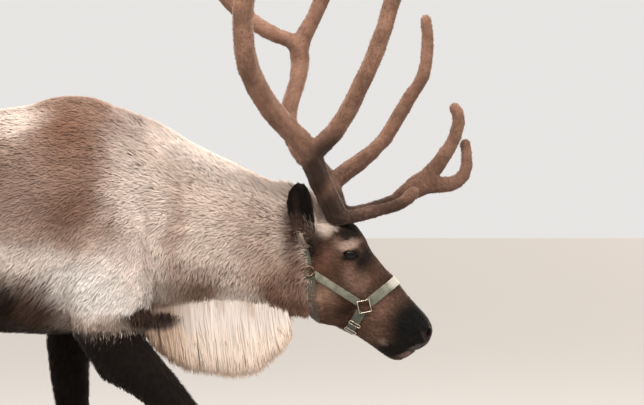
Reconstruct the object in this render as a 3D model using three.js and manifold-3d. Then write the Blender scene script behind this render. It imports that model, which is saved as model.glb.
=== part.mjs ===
// A reindeer bull in velvet, life size, walking with its head low and wearing a webbing halter.
// Millimetres, +X towards the nose, +Y to the animal's left, +Z up, hooves flat on z = 0.
import * as THREE from "three";
import { mergeVertices } from "three/addons/utils/BufferGeometryUtils.js";
import Module from "manifold-3d";

const wasm = await Module();
wasm.setup();

// Driving dimensions
const withersHeight = 1100;
const trunkLength = 1150;
const trunkHalfWidth = 222;
const chestFrontX = 190;
const headLength = 382;
const headPitch = THREE.MathUtils.degToRad(39);
const headOrigin = new THREE.Vector3(528, 0, 713);
const eyeRadius = 18;
const earLength = 152;
const maneTipDrop = 175;
const hoofLength = 95;
const strapWidth = 24;
const strapThickness = 2.6;
const gap = 0.3;

const coat = { trunk: 0xc2aa98, head: 0x6b4b3d, white: 0xe2d5c8, leg: 0x33261f };
const velvet = 0x86604a;
const horn = 0x2a2420;
const webbing = 0x9aa08a;
const metal = 0xcfc4b4;

const vec = (x, y, z) => new THREE.Vector3(x, y, z);

// The side view that places were read from: level, along +Y, with this scale where y is 0
const view = { scale: 2.4, distance: 4500, column: 322, row: 202.5, x: 580.8, z: 846 };
const spread = (y) => (view.scale * (view.distance + y)) / view.distance;

// A place seen at a column and row of the view, at a guessed y
function seen(column, row, y) {
  return vec(view.x + (column - view.column) * spread(y), y, view.z - (row - view.row) * spread(y));
}

// A smooth function of x through [x, value] pairs
function through(pairs) {
  const xs = pairs.map((pair) => pair[0]);
  const values = pairs.map((pair) => pair[1]);
  const curve = new THREE.CubicInterpolant(xs, values, 1);
  return (x) => curve.evaluate(THREE.MathUtils.clamp(x, xs[0], xs[xs.length - 1]))[0];
}

function rangeOf(low, high, steps) {
  return Array.from({ length: steps + 1 }, (_, i) => low + ((high - low) * i) / steps);
}

// Six times the signed volume of an indexed surface
function signedVolume(position, index) {
  const a = vec();
  const b = vec();
  const c = vec();
  let sum = 0;
  for (let i = 0; i < index.length; i += 3) {
    a.fromBufferAttribute(position, index[i]);
    b.fromBufferAttribute(position, index[i + 1]);
    c.fromBufferAttribute(position, index[i + 2]);
    sum += a.dot(b.cross(c));
  }
  return sum;
}

function solid(geometry) {
  const bare = geometry.clone();
  bare.deleteAttribute("normal");
  bare.deleteAttribute("uv");
  const merged = mergeVertices(bare, 1e-4);
  const triVerts = new Uint32Array(merged.index.array);
  if (signedVolume(merged.attributes.position, triVerts) < 0) {
    for (let i = 0; i < triVerts.length; i += 3) {
      [triVerts[i + 1], triVerts[i + 2]] = [triVerts[i + 2], triVerts[i + 1]];
    }
  }
  const vertProperties = merged.attributes.position.array;
  return new wasm.Manifold(new wasm.Mesh({ numProp: 3, vertProperties, triVerts }));
}

function unite(...pieces) {
  return pieces.flat().reduce((whole, piece) => whole.add(piece));
}

function cut(whole, ...tools) {
  return tools.flat().reduce((left, tool) => left.subtract(tool), whole);
}

function largest(whole) {
  const bodies = whole.decompose();
  return bodies.reduce((best, body) => (body.volume() > best.volume() ? body : best));
}

// A closed skin over rings of equal point count, with a fan at each end
function loft(rings) {
  const count = rings[0].length;
  const points = rings.flat();
  const index = [];
  for (let r = 0; r < rings.length - 1; r++) {
    for (let k = 0; k < count; k++) {
      const a = r * count + k;
      const b = r * count + ((k + 1) % count);
      index.push(a, b, a + count, b, b + count, a + count);
    }
  }
  const addFan = (ring, first, turned) => {
    const middle = ring.reduce((sum, p) => sum.add(p), vec(0, 0, 0)).divideScalar(count);
    const hub = points.push(middle) - 1;
    for (let k = 0; k < count; k++) {
      const next = (k + 1) % count;
      index.push(hub, first + (turned ? k : next), first + (turned ? next : k));
    }
  };
  addFan(rings[0], 0, false);
  addFan(rings[rings.length - 1], (rings.length - 1) * count, true);
  const geometry = new THREE.BufferGeometry().setFromPoints(points);
  geometry.setIndex(index);
  return solid(geometry);
}

const power = (value, exponent) => Math.sign(value) * Math.abs(value) ** exponent;

// Angles once round a ring
function aroundOf(count) {
  return Array.from({ length: count }, (_, k) => (2 * Math.PI * k) / count);
}

// A tube through [x, y, z, halfA, halfB] stations. halfA lies along the reference direction.
function tube(stations, { sides = 10, steps = 12, grow = 0, reference = vec(1, 0, 0), round = true }) {
  const spots = stations.map(([x, y, z]) => vec(x, y, z));
  const curve = new THREE.CatmullRomCurve3(spots, false, "centripetal");
  const places = stations.map((_, i) => i / (stations.length - 1));
  const halfA = through(places.map((t, i) => [t, stations[i][3]]));
  const halfB = through(places.map((t, i) => [t, stations[i][4] ?? stations[i][3]]));
  const across = reference.clone();
  const rings = [];
  const addRing = (centre, tangent, a, b) => {
    across.addScaledVector(tangent, -across.dot(tangent)).normalize();
    const other = vec().crossVectors(tangent, across);
    rings.push(
      aroundOf(sides).map((angle) =>
        centre
          .clone()
          .addScaledVector(across, a * Math.cos(angle))
          .addScaledVector(other, b * Math.sin(angle)),
      ),
    );
  };
  for (const t of rangeOf(0, 1, steps)) {
    addRing(curve.getPoint(t), curve.getTangent(t), halfA(t) + grow, halfB(t) + grow);
  }
  if (round) {
    const end = curve.getPoint(1);
    const tangent = curve.getTangent(1);
    const a = halfA(1) + grow;
    const b = halfB(1) + grow;
    const reach = Math.min(a, b);
    addRing(end.clone().addScaledVector(tangent, 0.5 * reach), tangent, 0.8 * a, 0.8 * b);
    addRing(end.clone().addScaledVector(tangent, 0.85 * reach), tangent, 0.42 * a, 0.42 * b);
  }
  return loft(rings);
}

function ellipsoid(centre, radii, turn = new THREE.Euler(), segments = 18) {
  const geometry = new THREE.SphereGeometry(1, segments, Math.round(segments * 0.7));
  geometry.scale(...radii);
  geometry.applyQuaternion(new THREE.Quaternion().setFromEuler(turn));
  geometry.translate(centre.x, centre.y, centre.z);
  return solid(geometry);
}

// A box with its length along a direction in the side view, its width across it, and its depth along Y
function bandBox(start, direction, length, width, lowY, highY) {
  const geometry = new THREE.BoxGeometry(length, highY - lowY, width);
  const turn = new THREE.Matrix4().makeRotationY(-Math.atan2(direction[1], direction[0]));
  geometry.translate(length / 2, (lowY + highY) / 2, 0);
  geometry.applyMatrix4(turn);
  geometry.translate(start[0], 0, start[1]);
  return solid(geometry);
}

// Trunk: upright sections between its front and rear ends, at shares of its length
const along = (share) => chestFrontX - share * trunkLength;
const backLine = through([
  [0, 0.73], [0.035, 0.905], [0.06, 0.958], [0.082, 0.979], [0.115, 0.992], [0.135, 0.998], [0.17, 1],
  [0.205, 0.999], [0.235, 0.994], [0.262, 0.986], [0.3, 0.979], [0.34, 0.974], [0.4, 0.962], [0.48, 0.948],
  [0.62, 0.942], [0.75, 0.95], [0.86, 0.937], [0.93, 0.895], [0.975, 0.83], [1, 0.765],
]);
const bellyLine = through([
  [0, 0.6], [0.035, 0.533], [0.08, 0.503], [0.17, 0.483], [0.34, 0.486], [0.48, 0.488], [0.62, 0.502],
  [0.72, 0.53], [0.8, 0.56], [0.88, 0.6], [0.94, 0.655], [0.975, 0.69], [1, 0.715],
]);
const girth = through([
  [0, 0.26], [0.035, 0.5], [0.09, 0.7], [0.17, 0.8], [0.28, 0.87], [0.45, 1], [0.58, 1.02], [0.72, 0.96],
  [0.84, 0.83], [0.93, 0.62], [0.975, 0.4], [1, 0.16],
]);
const girthLevel = through([[0, 0.5], [0.2, 0.44], [0.5, 0.42], [0.75, 0.5], [1, 0.5]]);

function trunkSolid(grow = 0) {
  const hump = [0.07, 0.1, 0.135, 0.17, 0.205, 0.235, 0.262, 0.3];
  const shares = [0, 0.012, 0.035, ...hump, ...rangeOf(0.37, 0.86, 6), 0.905, 0.945, 0.975, 1];
  return loft(
    shares.map((share) => {
      const x = along(share) + grow * (share === 0) - grow * (share === 1);
      const top = withersHeight * backLine(share) + grow;
      const bottom = withersHeight * bellyLine(share) - grow;
      const half = trunkHalfWidth * girth(share) + grow;
      const middle = bottom + (top - bottom) * girthLevel(share);
      return aroundOf(22).map((angle) => {
        const side = power(Math.cos(angle), 0.92);
        const height = power(Math.sin(angle), 0.96);
        return vec(x, half * side, middle + height * (height > 0 ? top - middle : middle - bottom));
      });
    }),
  );
}

// Neck: upright sections from the withers to behind the antlers
const neckStartX = 20;
const neckEndX = 608;
const neckTop = through([
  [20, 1076], [100, 1081], [150, 1060], [192, 1039], [288, 985], [384, 941], [456, 909], [504, 891],
  [540, 881], [564, 860], [588, 828], [608, 790],
]);
const neckBottom = through([
  [20, 640], [100, 605], [192, 592], [288, 592], [384, 592], [456, 588], [504, 578], [540, 574],
  [568, 590],
  [590, 650], [608, 720],
]);
const neckHalf = through([
  [20, 120], [100, 146], [192, 142], [288, 130], [384, 118], [440, 107], [490, 92], [530, 77], [560, 66],
  [590, 52], [608, 30],
]);

function neckSolid(grow = 0) {
  const xs = [...rangeOf(neckStartX, 430, 5), ...rangeOf(478, 556, 2), 576, 592, 602, neckEndX];
  return loft(
    xs.map((x) => {
      const top = neckTop(x) + grow;
      const bottom = neckBottom(x) - grow;
      const middle = bottom + (top - bottom) * 0.46;
      return aroundOf(18).map((angle) => {
        const side = power(Math.cos(angle), 0.95);
        const height = power(Math.sin(angle), 1);
        const half = neckHalf(x) + grow;
        return vec(x, half * side, middle + height * (height > 0 ? top - middle : middle - bottom));
      });
    }),
  );
}

// Head: sections across an axis that runs down to the nose.
// u is along it, v towards the forehead, w to the left.
const alongHead = vec(Math.cos(headPitch), 0, -Math.sin(headPitch));
const overHead = vec(Math.sin(headPitch), 0, Math.cos(headPitch));
const headPoint = (u, v, w) =>
  headOrigin
    .clone()
    .addScaledVector(alongHead, u)
    .addScaledVector(overHead, v)
    .add(vec(0, w, 0));
const headTurn = new THREE.Matrix4().makeBasis(alongHead, overHead, vec(0, -1, 0)).setPosition(headOrigin);

const headStart = -15;
const noseEnd = headLength - 15;
const faceLine = through([
  [-15, 122], [15, 140], [48, 147], [76, 141.5], [93, 136], [120, 122.5], [146, 116.5], [172, 111],
  [201, 106], [222, 102], [244, 98], [268, 92.5], [293, 88.5], [313, 86], [331, 82], [347, 74], [357, 65],
  [364, 50], [367, 38],
]);
const jawLine = through([
  [-15, -30], [20, -58], [60, -80], [100, -90], [123, -92], [148, -87], [169, -75], [190, -67], [233, -59],
  [274, -56], [312, -53.5], [327, -50], [338, -43], [347, -30], [352, -14], [357, 5], [363, 18], [367, 30],
]);
const headHalf = through([
  [-15, 62], [20, 70], [55, 75], [90, 75], [115, 68], [140, 59], [170, 51], [205, 45.5], [245, 42.5],
  [285, 43.5], [315, 46], [335, 44], [350, 37], [358, 29], [364, 18], [367, 9],
]);
const widestLevel = through([
  [-15, 0.58], [60, 0.66], [95, 0.7], [140, 0.62], [200, 0.5], [300, 0.46], [367, 0.5],
]);
// Swellings and hollows of the head: u, v, reach along u, reach along v, height
const headForms = [
  { name: "brow", u: 74, v: 108, alongU: 27, alongV: 15, height: 7 },
  { name: "hollow before the eye", u: 126, v: 70, alongU: 17, alongV: 15, height: -5 },
  { name: "cheek bone", u: 132, v: 36, alongU: 34, alongV: 11, height: 4 },
  { name: "jaw muscle", u: 96, v: -28, alongU: 42, alongV: 34, height: 10 },
  { name: "hollow of the cheek", u: 178, v: -14, alongU: 30, alongV: 24, height: -4 },
  { name: "bridge of the nose", u: 205, v: 98, alongU: 60, alongV: 18, height: -3 },
  { name: "nostril mound", u: 340, v: 56, alongU: 17, alongV: 19, height: 6 },
  { name: "upper lip", u: 338, v: 8, alongU: 22, alongV: 13, height: 6 },
  { name: "chin", u: 325, v: -36, alongU: 22, alongV: 14, height: 3 },
];

function headSurface(u, angle, grow) {
  const top = faceLine(u) + grow;
  const bottom = jawLine(u) - grow;
  const middle = bottom + (top - bottom) * widestLevel(u);
  const side = power(Math.cos(angle), angle < Math.PI ? 0.92 : 1);
  const height = power(Math.sin(angle), angle < Math.PI ? 0.98 : 0.9);
  const w = (headHalf(u) + grow) * side;
  const rise = height * (height > 0 ? top - middle : middle - bottom);
  const v = middle + rise;
  const swellOf = (form) =>
    form.height * Math.exp(-(((u - form.u) / form.alongU) ** 2) - ((v - form.v) / form.alongV) ** 2);
  const swell = headForms.reduce((sum, form) => sum + swellOf(form), 0);
  return headPoint(u, v, w + Math.sign(w) * swell * Math.abs(Math.cos(angle)) ** 0.5);
}

function headShell(grow = 0) {
  const us = [
    headStart - grow, ...rangeOf(18, 60, 2), ...rangeOf(76, 145, 4), ...rangeOf(172, 290, 4),
    ...rangeOf(308, 342, 3), 350, 357, 362, 365, noseEnd + grow,
  ];
  return loft(us.map((u) => aroundOf(24).map((angle) => headSurface(u, angle, grow))));
}

// How far out the head's side lies at a place on it
function headSide(u, v) {
  const levels = rangeOf(-Math.PI / 2, Math.PI / 2, 180).map((angle) => {
    const turned = (angle + 2 * Math.PI) % (2 * Math.PI);
    const place = headSurface(u, turned, 0).sub(headOrigin);
    return { v: place.dot(overHead), w: place.y };
  });
  return levels.reduce((best, level) => (Math.abs(level.v - v) < Math.abs(best.v - v) ? level : best)).w;
}

// A place of the side view in the head's own u and v
function headPlace(column, row, y) {
  const place = seen(column, row, y).sub(headOrigin);
  return { u: place.dot(alongHead), v: place.dot(overHead) };
}

const eye = { ...headPlace(350, 255, -70), w: 57.5, lid: 3.2, length: 33, height: 16, tilt: 0.28 };
const nostril = { u: 349, v: 54, w: 33, length: 12, height: 5.5, depth: 13, tilt: 1.15 };
const mouthLine = [[363.6, 6], [351.7, 0.6], [336.3, -11], [321.6, -20], [303.2, -25], [282.7, -28]];

function eyeball(side, grow = 0) {
  const r = eyeRadius + grow;
  return ellipsoid(headPoint(eye.u, eye.v, side * eye.w), [r, r, r], new THREE.Euler(), 12);
}

// The opening between the lids, as a prism that runs out sideways from the eyeball's middle
function lidOpening(side) {
  const half = eye.length / 2;
  const shape = new THREE.Shape().moveTo(-half, 0);
  shape.quadraticCurveTo(-2, eye.height * 1.15, half, 0);
  shape.quadraticCurveTo(0, -eye.height * 0.85, -half, 0);
  const geometry = new THREE.ExtrudeGeometry(shape, { depth: 60, bevelEnabled: false, curveSegments: 8 });
  geometry.rotateZ(eye.tilt);
  geometry.translate(eye.u, eye.v, side > 0 ? -eye.w - 60 : eye.w);
  return solid(geometry.applyMatrix4(headTurn));
}

function mouthGroove() {
  const line = mouthLine.map(([u, v]) => new THREE.Vector2(u, v));
  const halves = [1.8, 1.5, 1.4, 1.3, 1.1, 0.8];
  const upper = line.map((p, i) => new THREE.Vector2(p.x, p.y + halves[i]));
  const lower = line.map((p, i) => new THREE.Vector2(p.x, p.y - halves[i])).reverse();
  const halfDepth = 80;
  const geometry = new THREE.ExtrudeGeometry(new THREE.Shape([...upper, ...lower]), {
    depth: 2 * halfDepth,
    bevelEnabled: false,
  });
  geometry.translate(0, 0, -halfDepth);
  return cut(solid(geometry.applyMatrix4(headTurn)), headShell(-5));
}

function nostrilForm(side, scale, inset, roll = 0) {
  const centre = headPoint(nostril.u, nostril.v, side * (nostril.w - inset));
  const turn = new THREE.Euler(roll, headPitch + nostril.tilt + roll / 3, side * 0.35, "YXZ");
  const { length, depth, height } = nostril;
  return ellipsoid(centre, [length * scale, depth * scale, height * scale], turn, 10);
}

function wholeHead() {
  const lids = [1, -1].map((side) => eyeball(side, eye.lid));
  const rims = [1, -1].map((side) => nostrilForm(side, 1.3, 8));
  const openings = [1, -1].flatMap((side) => [
    lidOpening(side), eyeball(side, gap), nostrilForm(side, 1, 0, 0.21),
  ]);
  return cut(unite(headShell(), lids, rims), openings, mouthGroove());
}

// Legs: [x, y, z, half depth, half width] for the right side; y turns over for the left
const rightForePath = [
  [25, -80, 985, 62, 34], [58, -116, 860, 96, 52], [88, -140, 705, 100, 62], [86, -150, 590, 97, 58],
  [98, -146, 508, 81, 54], [163, -140, 445, 57, 46], [236, -134, 377, 42, 40], [281, -130, 330, 38, 37],
  [292, -128, 262, 29, 28], [297, -126, 180, 26, 25], [301, -125, 116, 32, 31], [314, -125, 76, 31, 34],
  [329, -125, 46, 33, 38],
];
const leftForePath = [
  [0, 80, 985, 62, 34], [30, 116, 860, 98, 52], [40, 142, 705, 100, 62], [-10, 152, 600, 88, 58],
  [-42, 150, 520, 66, 52], [-44, 146, 455, 54, 46], [-39, 142, 385, 47, 41], [-35, 138, 320, 43, 38],
  [-34, 136, 250, 29, 28], [-38, 135, 170, 26, 25], [-40, 134, 112, 32, 31], [-28, 134, 76, 31, 34],
  [-14, 134, 46, 33, 38],
];
const rightHindPath = [
  [-800, -70, 930, 95, 55], [-780, -112, 840, 135, 82], [-735, -140, 740, 142, 84],
  [-700, -146, 650, 112, 72],
  [-735, -140, 565, 76, 56], [-788, -134, 490, 53, 42], [-832, -130, 418, 45, 36],
  [-836, -128, 350, 36, 32],
  [-828, -126, 250, 29, 27], [-820, -125, 170, 28, 26], [-814, -125, 114, 33, 32],
  [-801, -125, 76, 32, 35],
  [-786, -125, 46, 34, 38],
];
const leftHindPath = [
  [-815, 70, 930, 95, 55], [-805, 112, 840, 135, 82], [-775, 140, 740, 142, 84], [-755, 146, 650, 112, 72],
  [-805, 140, 565, 76, 56], [-868, 134, 490, 53, 42], [-918, 130, 422, 45, 36], [-932, 128, 352, 36, 32],
  [-946, 127, 250, 29, 27], [-956, 126, 168, 28, 26], [-960, 126, 112, 33, 32], [-948, 126, 76, 32, 35],
  [-934, 126, 46, 34, 38],
];
const legs = [
  { name: "foreleg_right", path: rightForePath, bodyLevel: 598, kneeLevel: 300 },
  { name: "foreleg_left", path: leftForePath, bodyLevel: 606, kneeLevel: 292 },
  { name: "hindleg_right", path: rightHindPath, bodyLevel: 668, kneeLevel: 372 },
  { name: "hindleg_left", path: leftHindPath, bodyLevel: 668, kneeLevel: 372 },
];

function legSolid(leg, grow = 0) {
  const [x, y, z, halfA, halfB] = footOf(leg);
  const path = [...leg.path, [x + 8, y, z - 24, halfA, halfB]];
  return aboveCoronet(tube(path, { sides: 11, steps: 15, grow, round: false }), leg);
}

// Hooves: the top of each foot slopes down to the heel, the toe of each claw bends towards the other
const coronetHeight = 50;
const coronetSlope = 0.28;
const coronetNormal = vec(-coronetSlope, 0, 1);
const footOf = (leg) => leg.path.at(-1);

function aboveCoronet(form, leg) {
  const foot = footOf(leg);
  const offset = (coronetHeight + gap - coronetSlope * foot[0]) / coronetNormal.length();
  return form.trimByPlane(coronetNormal.toArray(), offset);
}

function claw(leg, side, grow = 0) {
  const [footX, footY] = footOf(leg);
  const heel = footX - 0.37 * hoofLength;
  const levels = [
    { t: 0, size: 1, heelIn: 0 }, { t: 0.2, size: 1.01, heelIn: 0 }, { t: 1, size: 0.74, heelIn: -4 },
  ];
  return loft(
    levels.map(({ t, size, heelIn }) =>
      aroundOf(12).map((angle) => {
        const reach = (0.5 + 0.5 * Math.cos(angle)) * hoofLength * size;
        const narrowing = 1 - 0.32 * Math.cos(angle);
        const wide = (23 * (0.3 + 0.7 * size) + grow) * Math.sin(angle) * narrowing;
        const bend = 10 * (reach / hoofLength) ** 2;
        const x = heel + heelIn + reach + grow * Math.cos(angle);
        const height = t * (coronetHeight + coronetSlope * (x - footX)) + grow * (t === 1);
        return vec(x, footY + side * (27.5 - bend) + wide, height);
      }),
    ),
  );
}

function dewclaw(leg, side) {
  const [footX, footY] = footOf(leg);
  const heel = footX - 0.37 * hoofLength;
  const y = footY + side * 20;
  const stations = [
    [heel + 10, y, 66, 13, 11], [heel - 9, y + side * 3, 46, 13, 11], [heel - 21, y + side * 5, 20, 8, 7],
  ];
  return tube(stations, { sides: 5, steps: 2 });
}

// Ears: a cupped leaf, its section a thick arc that opens sideways and a little back
function earSolid(side) {
  const spine = new THREE.CatmullRomCurve3([
    vec(556, side * 64, 729), vec(546, side * 91, 766), vec(535, side * 109, 812), vec(528, side * 117, 854),
    vec(530, side * 121, 740 + earLength),
  ]);
  const halfWidth = through([[0, 14], [0.18, 23], [0.4, 33], [0.6, 36], [0.8, 31.5], [0.92, 22.5], [1, 9]]);
  const depth = through([[0, 15], [0.2, 19], [0.5, 19], [0.8, 12], [1, 4]]);
  const wallOf = through([[0, 9], [0.2, 6], [0.5, 4.5], [1, 3]]);
  const opening = vec(-0.42, side * 0.9, 0.1).normalize();
  const rings = [0, 0.143, 0.286, 0.429, 0.572, 0.715, 0.84, 0.93, 1].map((t) => {
    const centre = spine.getPoint(t);
    const tangent = spine.getTangent(t);
    const front = opening.clone().addScaledVector(tangent, -opening.dot(tangent)).normalize();
    const across = vec().crossVectors(tangent, front);
    const wall = Math.min(wallOf(t), halfWidth(t) * 0.55);
    const arc = (a, b, angles) =>
      angles.map((angle) =>
        centre
          .clone()
          .addScaledVector(across, a * Math.sin(angle))
          .addScaledVector(front, -b * Math.cos(angle)),
      );
    const sweep = rangeOf(-1.9, 1.9, 6);
    const outer = arc(halfWidth(t), depth(t), sweep);
    const sweepBack = sweep.map((angle) => angle * 0.96).reverse();
    const inner = arc(halfWidth(t) - wall, depth(t) - wall * 0.8, sweepBack);
    return [...outer, ...inner];
  });
  return loft(rings);
}

// Antlers: [column, row, y, radius in pixels] from root to tip. Rows below 0 lie above the picture.
// A fifth value is the half width in the side view, where the tine is flattened.
const rightBase = [
  [338, 222, -30, 11], [333, 208, -50, 10.8], [328.5, 199, -64, 10.8], [323.5, 189, -80, 10.8],
  [315.5, 169, -107, 11.2], [310, 156, -124, 11.6],
];
const rightBeam = [
  [312, 158, -120, 10.3], [303, 143.5, -136, 11], [291, 131, -156, 10.8], [280, 120, -178, 10.8],
  [270, 107.5, -203, 10.8], [260, 93, -234, 10.8], [252, 77, -266, 10.6], [246.3, 60, -290, 10.4],
  [243.5, 43, -308, 10.3], [243, 22, -322, 10.3], [243.5, 0, -328, 10.4], [247, -24, -330, 10.4],
  [256, -53, -324, 10.6], [269, -83, -311, 10.6], [286, -111, -292, 9.6],
];
const rightBez = [
  [312, 156, -122, 9], [321, 145.5, -128, 9.6], [334, 133, -136, 9.3], [345, 116, -152, 8.8],
  [355, 97.5, -172, 8.6], [365, 76, -196, 8.5], [375.5, 53.5, -215, 8.4], [384.5, 28, -228, 8.3],
  [392, 0, -236, 8.3], [398, -22, -238, 7.7], [399, -42, -234, 6.6], [395, -62, -228, 4.8],
];
const rightBezFork = [
  [396, -12, -237, 6.2], [407, -27, -230, 6.2], [418, -43, -218, 5.3], [424, -60, -210, 4],
];
const rightBrow = [
  [333, 214, -50, 8], [344, 217, -52, 7], [355, 216.3, -52, 6.6], [365, 213.7, -52, 6.3],
  [385, 208.8, -50, 5.9], [395, 206, -48, 5.9], [403, 202.3, -46, 6], [409.5, 197, -44, 6],
  [414, 192.3, -43, 5.9],
];
const rightRear = [[250, -20, -328, 7.5], [238, -40, -335, 7], [226, -61, -341, 6], [219, -82, -344, 4.4]];
const rightCrownTines = [
  [
    [276, -95, -303, 9.5], [290, -117, -288, 9], [309, -138, -268, 8], [330, -149, -250, 5.7],
    [344, -162, -240, 4],
  ],
  [[283, -104, -296, 8.4], [287, -130, -290, 7.5], [286, -154, -284, 5.7], [282, -174, -278, 4]],
];
const leftBase = [
  [338, 222, 30, 11], [336, 205, 50, 10], [333, 192, 64, 9.6], [327, 179, 84, 9.6],
  [317, 167, 106, 9.4],
  [303.5, 156.5, 130, 9], [297, 147, 148, 9],
];
const leftBeam = [
  [301, 153, 138, 8.6], [293.5, 140, 162, 8.8], [289, 127, 182, 8.7], [288.2, 115, 198, 8.4],
  [290.5, 103, 212, 8.2], [294, 92, 226, 8.1], [297.5, 80, 238, 8.3], [299.3, 69, 250, 8.8],
  [299.7, 58, 258, 9.3],
];
const leftRear = [
  [300, 49, 261, 8.5], [290, 40.5, 267, 7.6], [279, 36.5, 273, 7.3], [265, 30, 280, 7.6],
  [254, 22.6, 286, 7.9], [241, 12.5, 292, 7.8], [229.5, 1.5, 298, 7.5], [219, -10, 303, 6.3],
  [213, -25, 306, 4.3],
];
const leftCrown = [
  [299.7, 61, 257, 9.3], [299, 48, 262, 9.7], [302.5, 38.5, 262, 8.6], [309, 27, 260, 7.8],
  [315, 15, 257, 7.4], [321, 1, 252, 7.6], [329, -17, 247, 8.1], [338, -43, 238, 8.1],
  [345, -70, 228, 7.6], [348, -96, 219, 5.6],
  [345, -116, 212, 3.6],
];
const leftCrownFork = [[332, -26, 243, 6], [347, -41, 234, 6], [363, -54, 224, 5.2], [374, -71, 217, 3.6]];
const leftBez = [
  [334, 184, 78, 7.8], [340, 176.5, 86, 8.8], [347.5, 170.5, 90, 8.8], [358.5, 162.7, 90, 8.3],
  [369, 154.5, 88, 7.5], [380.5, 145, 85, 7.2], [391.5, 128.8, 82, 7.1], [400.5, 111.5, 78, 6.9],
  [410.3, 96.5, 73, 6.6], [419, 84, 68, 6.5], [424.3, 73, 64, 6.3], [426.7, 60, 62, 6],
  [427.8, 33, 60, 5.7], [426, 20.5, 60, 5.4],
];
const leftBrow = [
  [338, 212, 50, 7], [348, 213, 48, 6.6], [358, 211.7, 43, 6.3], [370, 209, 36, 6.2],
  [383, 205.5, 28, 6.2],
  [395, 200.5, 20, 6.2, 7], [406, 193.5, 12, 5.8, 9], [416, 187, 6, 5.6, 11.4], [426, 182, 2, 5.6, 12.4],
  [434, 177.5, 0, 5, 10.5],
];
const leftBrowUpper = [
  [424, 180, 2, 5.8, 8.7], [434, 169.5, 1, 5.8, 8], [442, 159, -1, 5.8, 7.2], [449, 148, -3, 5.6, 6.6],
  [455, 136.5, -6, 5.4, 6.4], [458.8, 123, -9, 5.6, 6.2], [458.2, 113, -12, 5.6, 6],
  [454.6, 108, -13, 5.6],
];
const leftBrowLower = [
  [424, 184.5, 2, 5.4, 8.8], [436, 185, 3, 5.4, 8.2], [448, 184.8, 6, 5.4, 7.6], [457, 181.5, 9, 5.4, 6.9],
  [464, 175, 13, 5.4, 6], [467, 165, 16, 5.4], [466.6, 153, 18, 5.2], [465, 144.5, 20, 5.2],
];

// The drawn radius is that of the middle of a facet and its corner
const cornerGain = 1.05;

function tine(stations, grow = 0) {
  const placed = stations.map(([column, row, y, deep, wide = deep]) => [
    ...seen(column, row, y).toArray(), deep * spread(y) * cornerGain, wide * spread(y) * cornerGain,
  ]);
  const steps = Math.ceil(stations.length * 0.85);
  return tube(placed, { sides: 7, steps, grow, reference: vec(0, 1, 0) });
}

const antlerForms = [
  { name: "antler_right_base", tines: [rightBase] },
  { name: "antler_right_beam", tines: [rightBeam] },
  { name: "antler_right_bez", tines: [rightBez, rightBezFork] },
  { name: "antler_right_brow", tines: [rightBrow] },
  { name: "antler_right_rear", tines: [rightRear] },
  { name: "antler_right_crown", tines: rightCrownTines },
  { name: "antler_left_base", tines: [leftBase] },
  { name: "antler_left_beam", tines: [leftBeam] },
  { name: "antler_left_bez", tines: [leftBez] },
  { name: "antler_left_brow", tines: [leftBrow, leftBrowUpper, leftBrowLower] },
  { name: "antler_left_rear", tines: [leftRear] },
  { name: "antler_left_crown", tines: [leftCrown, leftCrownFork] },
];

// A flat lock of hair along places, wide across one direction, tapering to its tip
function lock(places, halfWidth, halfThickness, wide, twist = 0) {
  const curve = new THREE.CatmullRomCurve3(places);
  const shares = [0, 0.35, 0.7, 1];
  const widths = [0.85, 1, 0.7, 0.09];
  return loft(
    shares.map((t, i) => {
      const centre = curve.getPoint(t);
      const tangent = curve.getTangent(t);
      const across = wide.clone().applyAxisAngle(tangent, twist * t);
      across.addScaledVector(tangent, -across.dot(tangent)).normalize();
      const flat = vec().crossVectors(tangent, across);
      const a = halfWidth * widths[i];
      const b = Math.max(halfThickness * widths[i], 0.8);
      const corners = [[a, 0], [0, b], [-a, 0], [0, -b]];
      return corners.map(([x, y]) => centre.clone().addScaledVector(across, x).addScaledVector(flat, y));
    }),
  );
}

const around = (value, reach) => value + (THREE.MathUtils.seededRandom() * 2 - 1) * reach;

// Throat mane: a core under the neck, and locks that hang from it to a rounded lower edge
const maneFirstX = 152;
const maneLastX = 487;
const maneColumns = 10;
const maneRows = [-70, -40, 0, 40, 70];
const maneTips = through([
  [125, 560], [160, 512], [180, 482], [216, 450], [250, 434], [300, 426], [360, 592 - maneTipDrop],
  [411, 428], [440, 455], [475, 486], [495, 512], [504, 548],
]);

function maneCore() {
  return loft(
    [130, 165, 215, 290, 370, 430, 475, 500].map((x) => {
      const top = 690;
      const bottom = neckBottom(x) - 0.45 * (neckBottom(x) - maneTips(x));
      const half = 74 * (1 - 0.5 * ((x - 315) / 185) ** 4);
      return aroundOf(12).map((angle) => {
        const height = ((top + bottom) / 2) + (Math.sin(angle) * (top - bottom)) / 2;
        return vec(x, half * Math.cos(angle), height);
      });
    }),
  );
}

function maneLocks() {
  const locks = [];
  const spacing = (maneLastX - maneFirstX) / (maneColumns - 1);
  for (let column = 0; column < maneColumns; column++) {
    for (const row of maneRows) {
      const stagger = (column + Math.abs(row) / 10) % 2 < 1 ? 0.25 : -0.25;
      const x = around(maneFirstX + spacing * (column + stagger), 4);
      const y = row * (1 - 0.3 * ((x - 315) / 185) ** 4) + (column % 2 ? 5 : -5);
      const rootZ = neckBottom(x) + 55 * (row / 70) ** 2;
      const tipZ = around(maneTips(x) + 0.75 * Math.abs(row), 9);
      const drop = rootZ - tipZ;
      const places = [
        vec(x - 4, y * 0.72, rootZ + 18),
        vec(x - 2, y * 1.02, rootZ - 0.3 * drop),
        vec(x + 4, y * 0.98, rootZ - 0.68 * drop),
        vec(around(x + 14, 7), y * 0.66, tipZ),
      ];
      locks.push(lock(places, around(26.5, 3), around(6.5, 1), vec(1, 0, 0), around(0, 0.5)));
    }
  }
  return locks;
}

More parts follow.
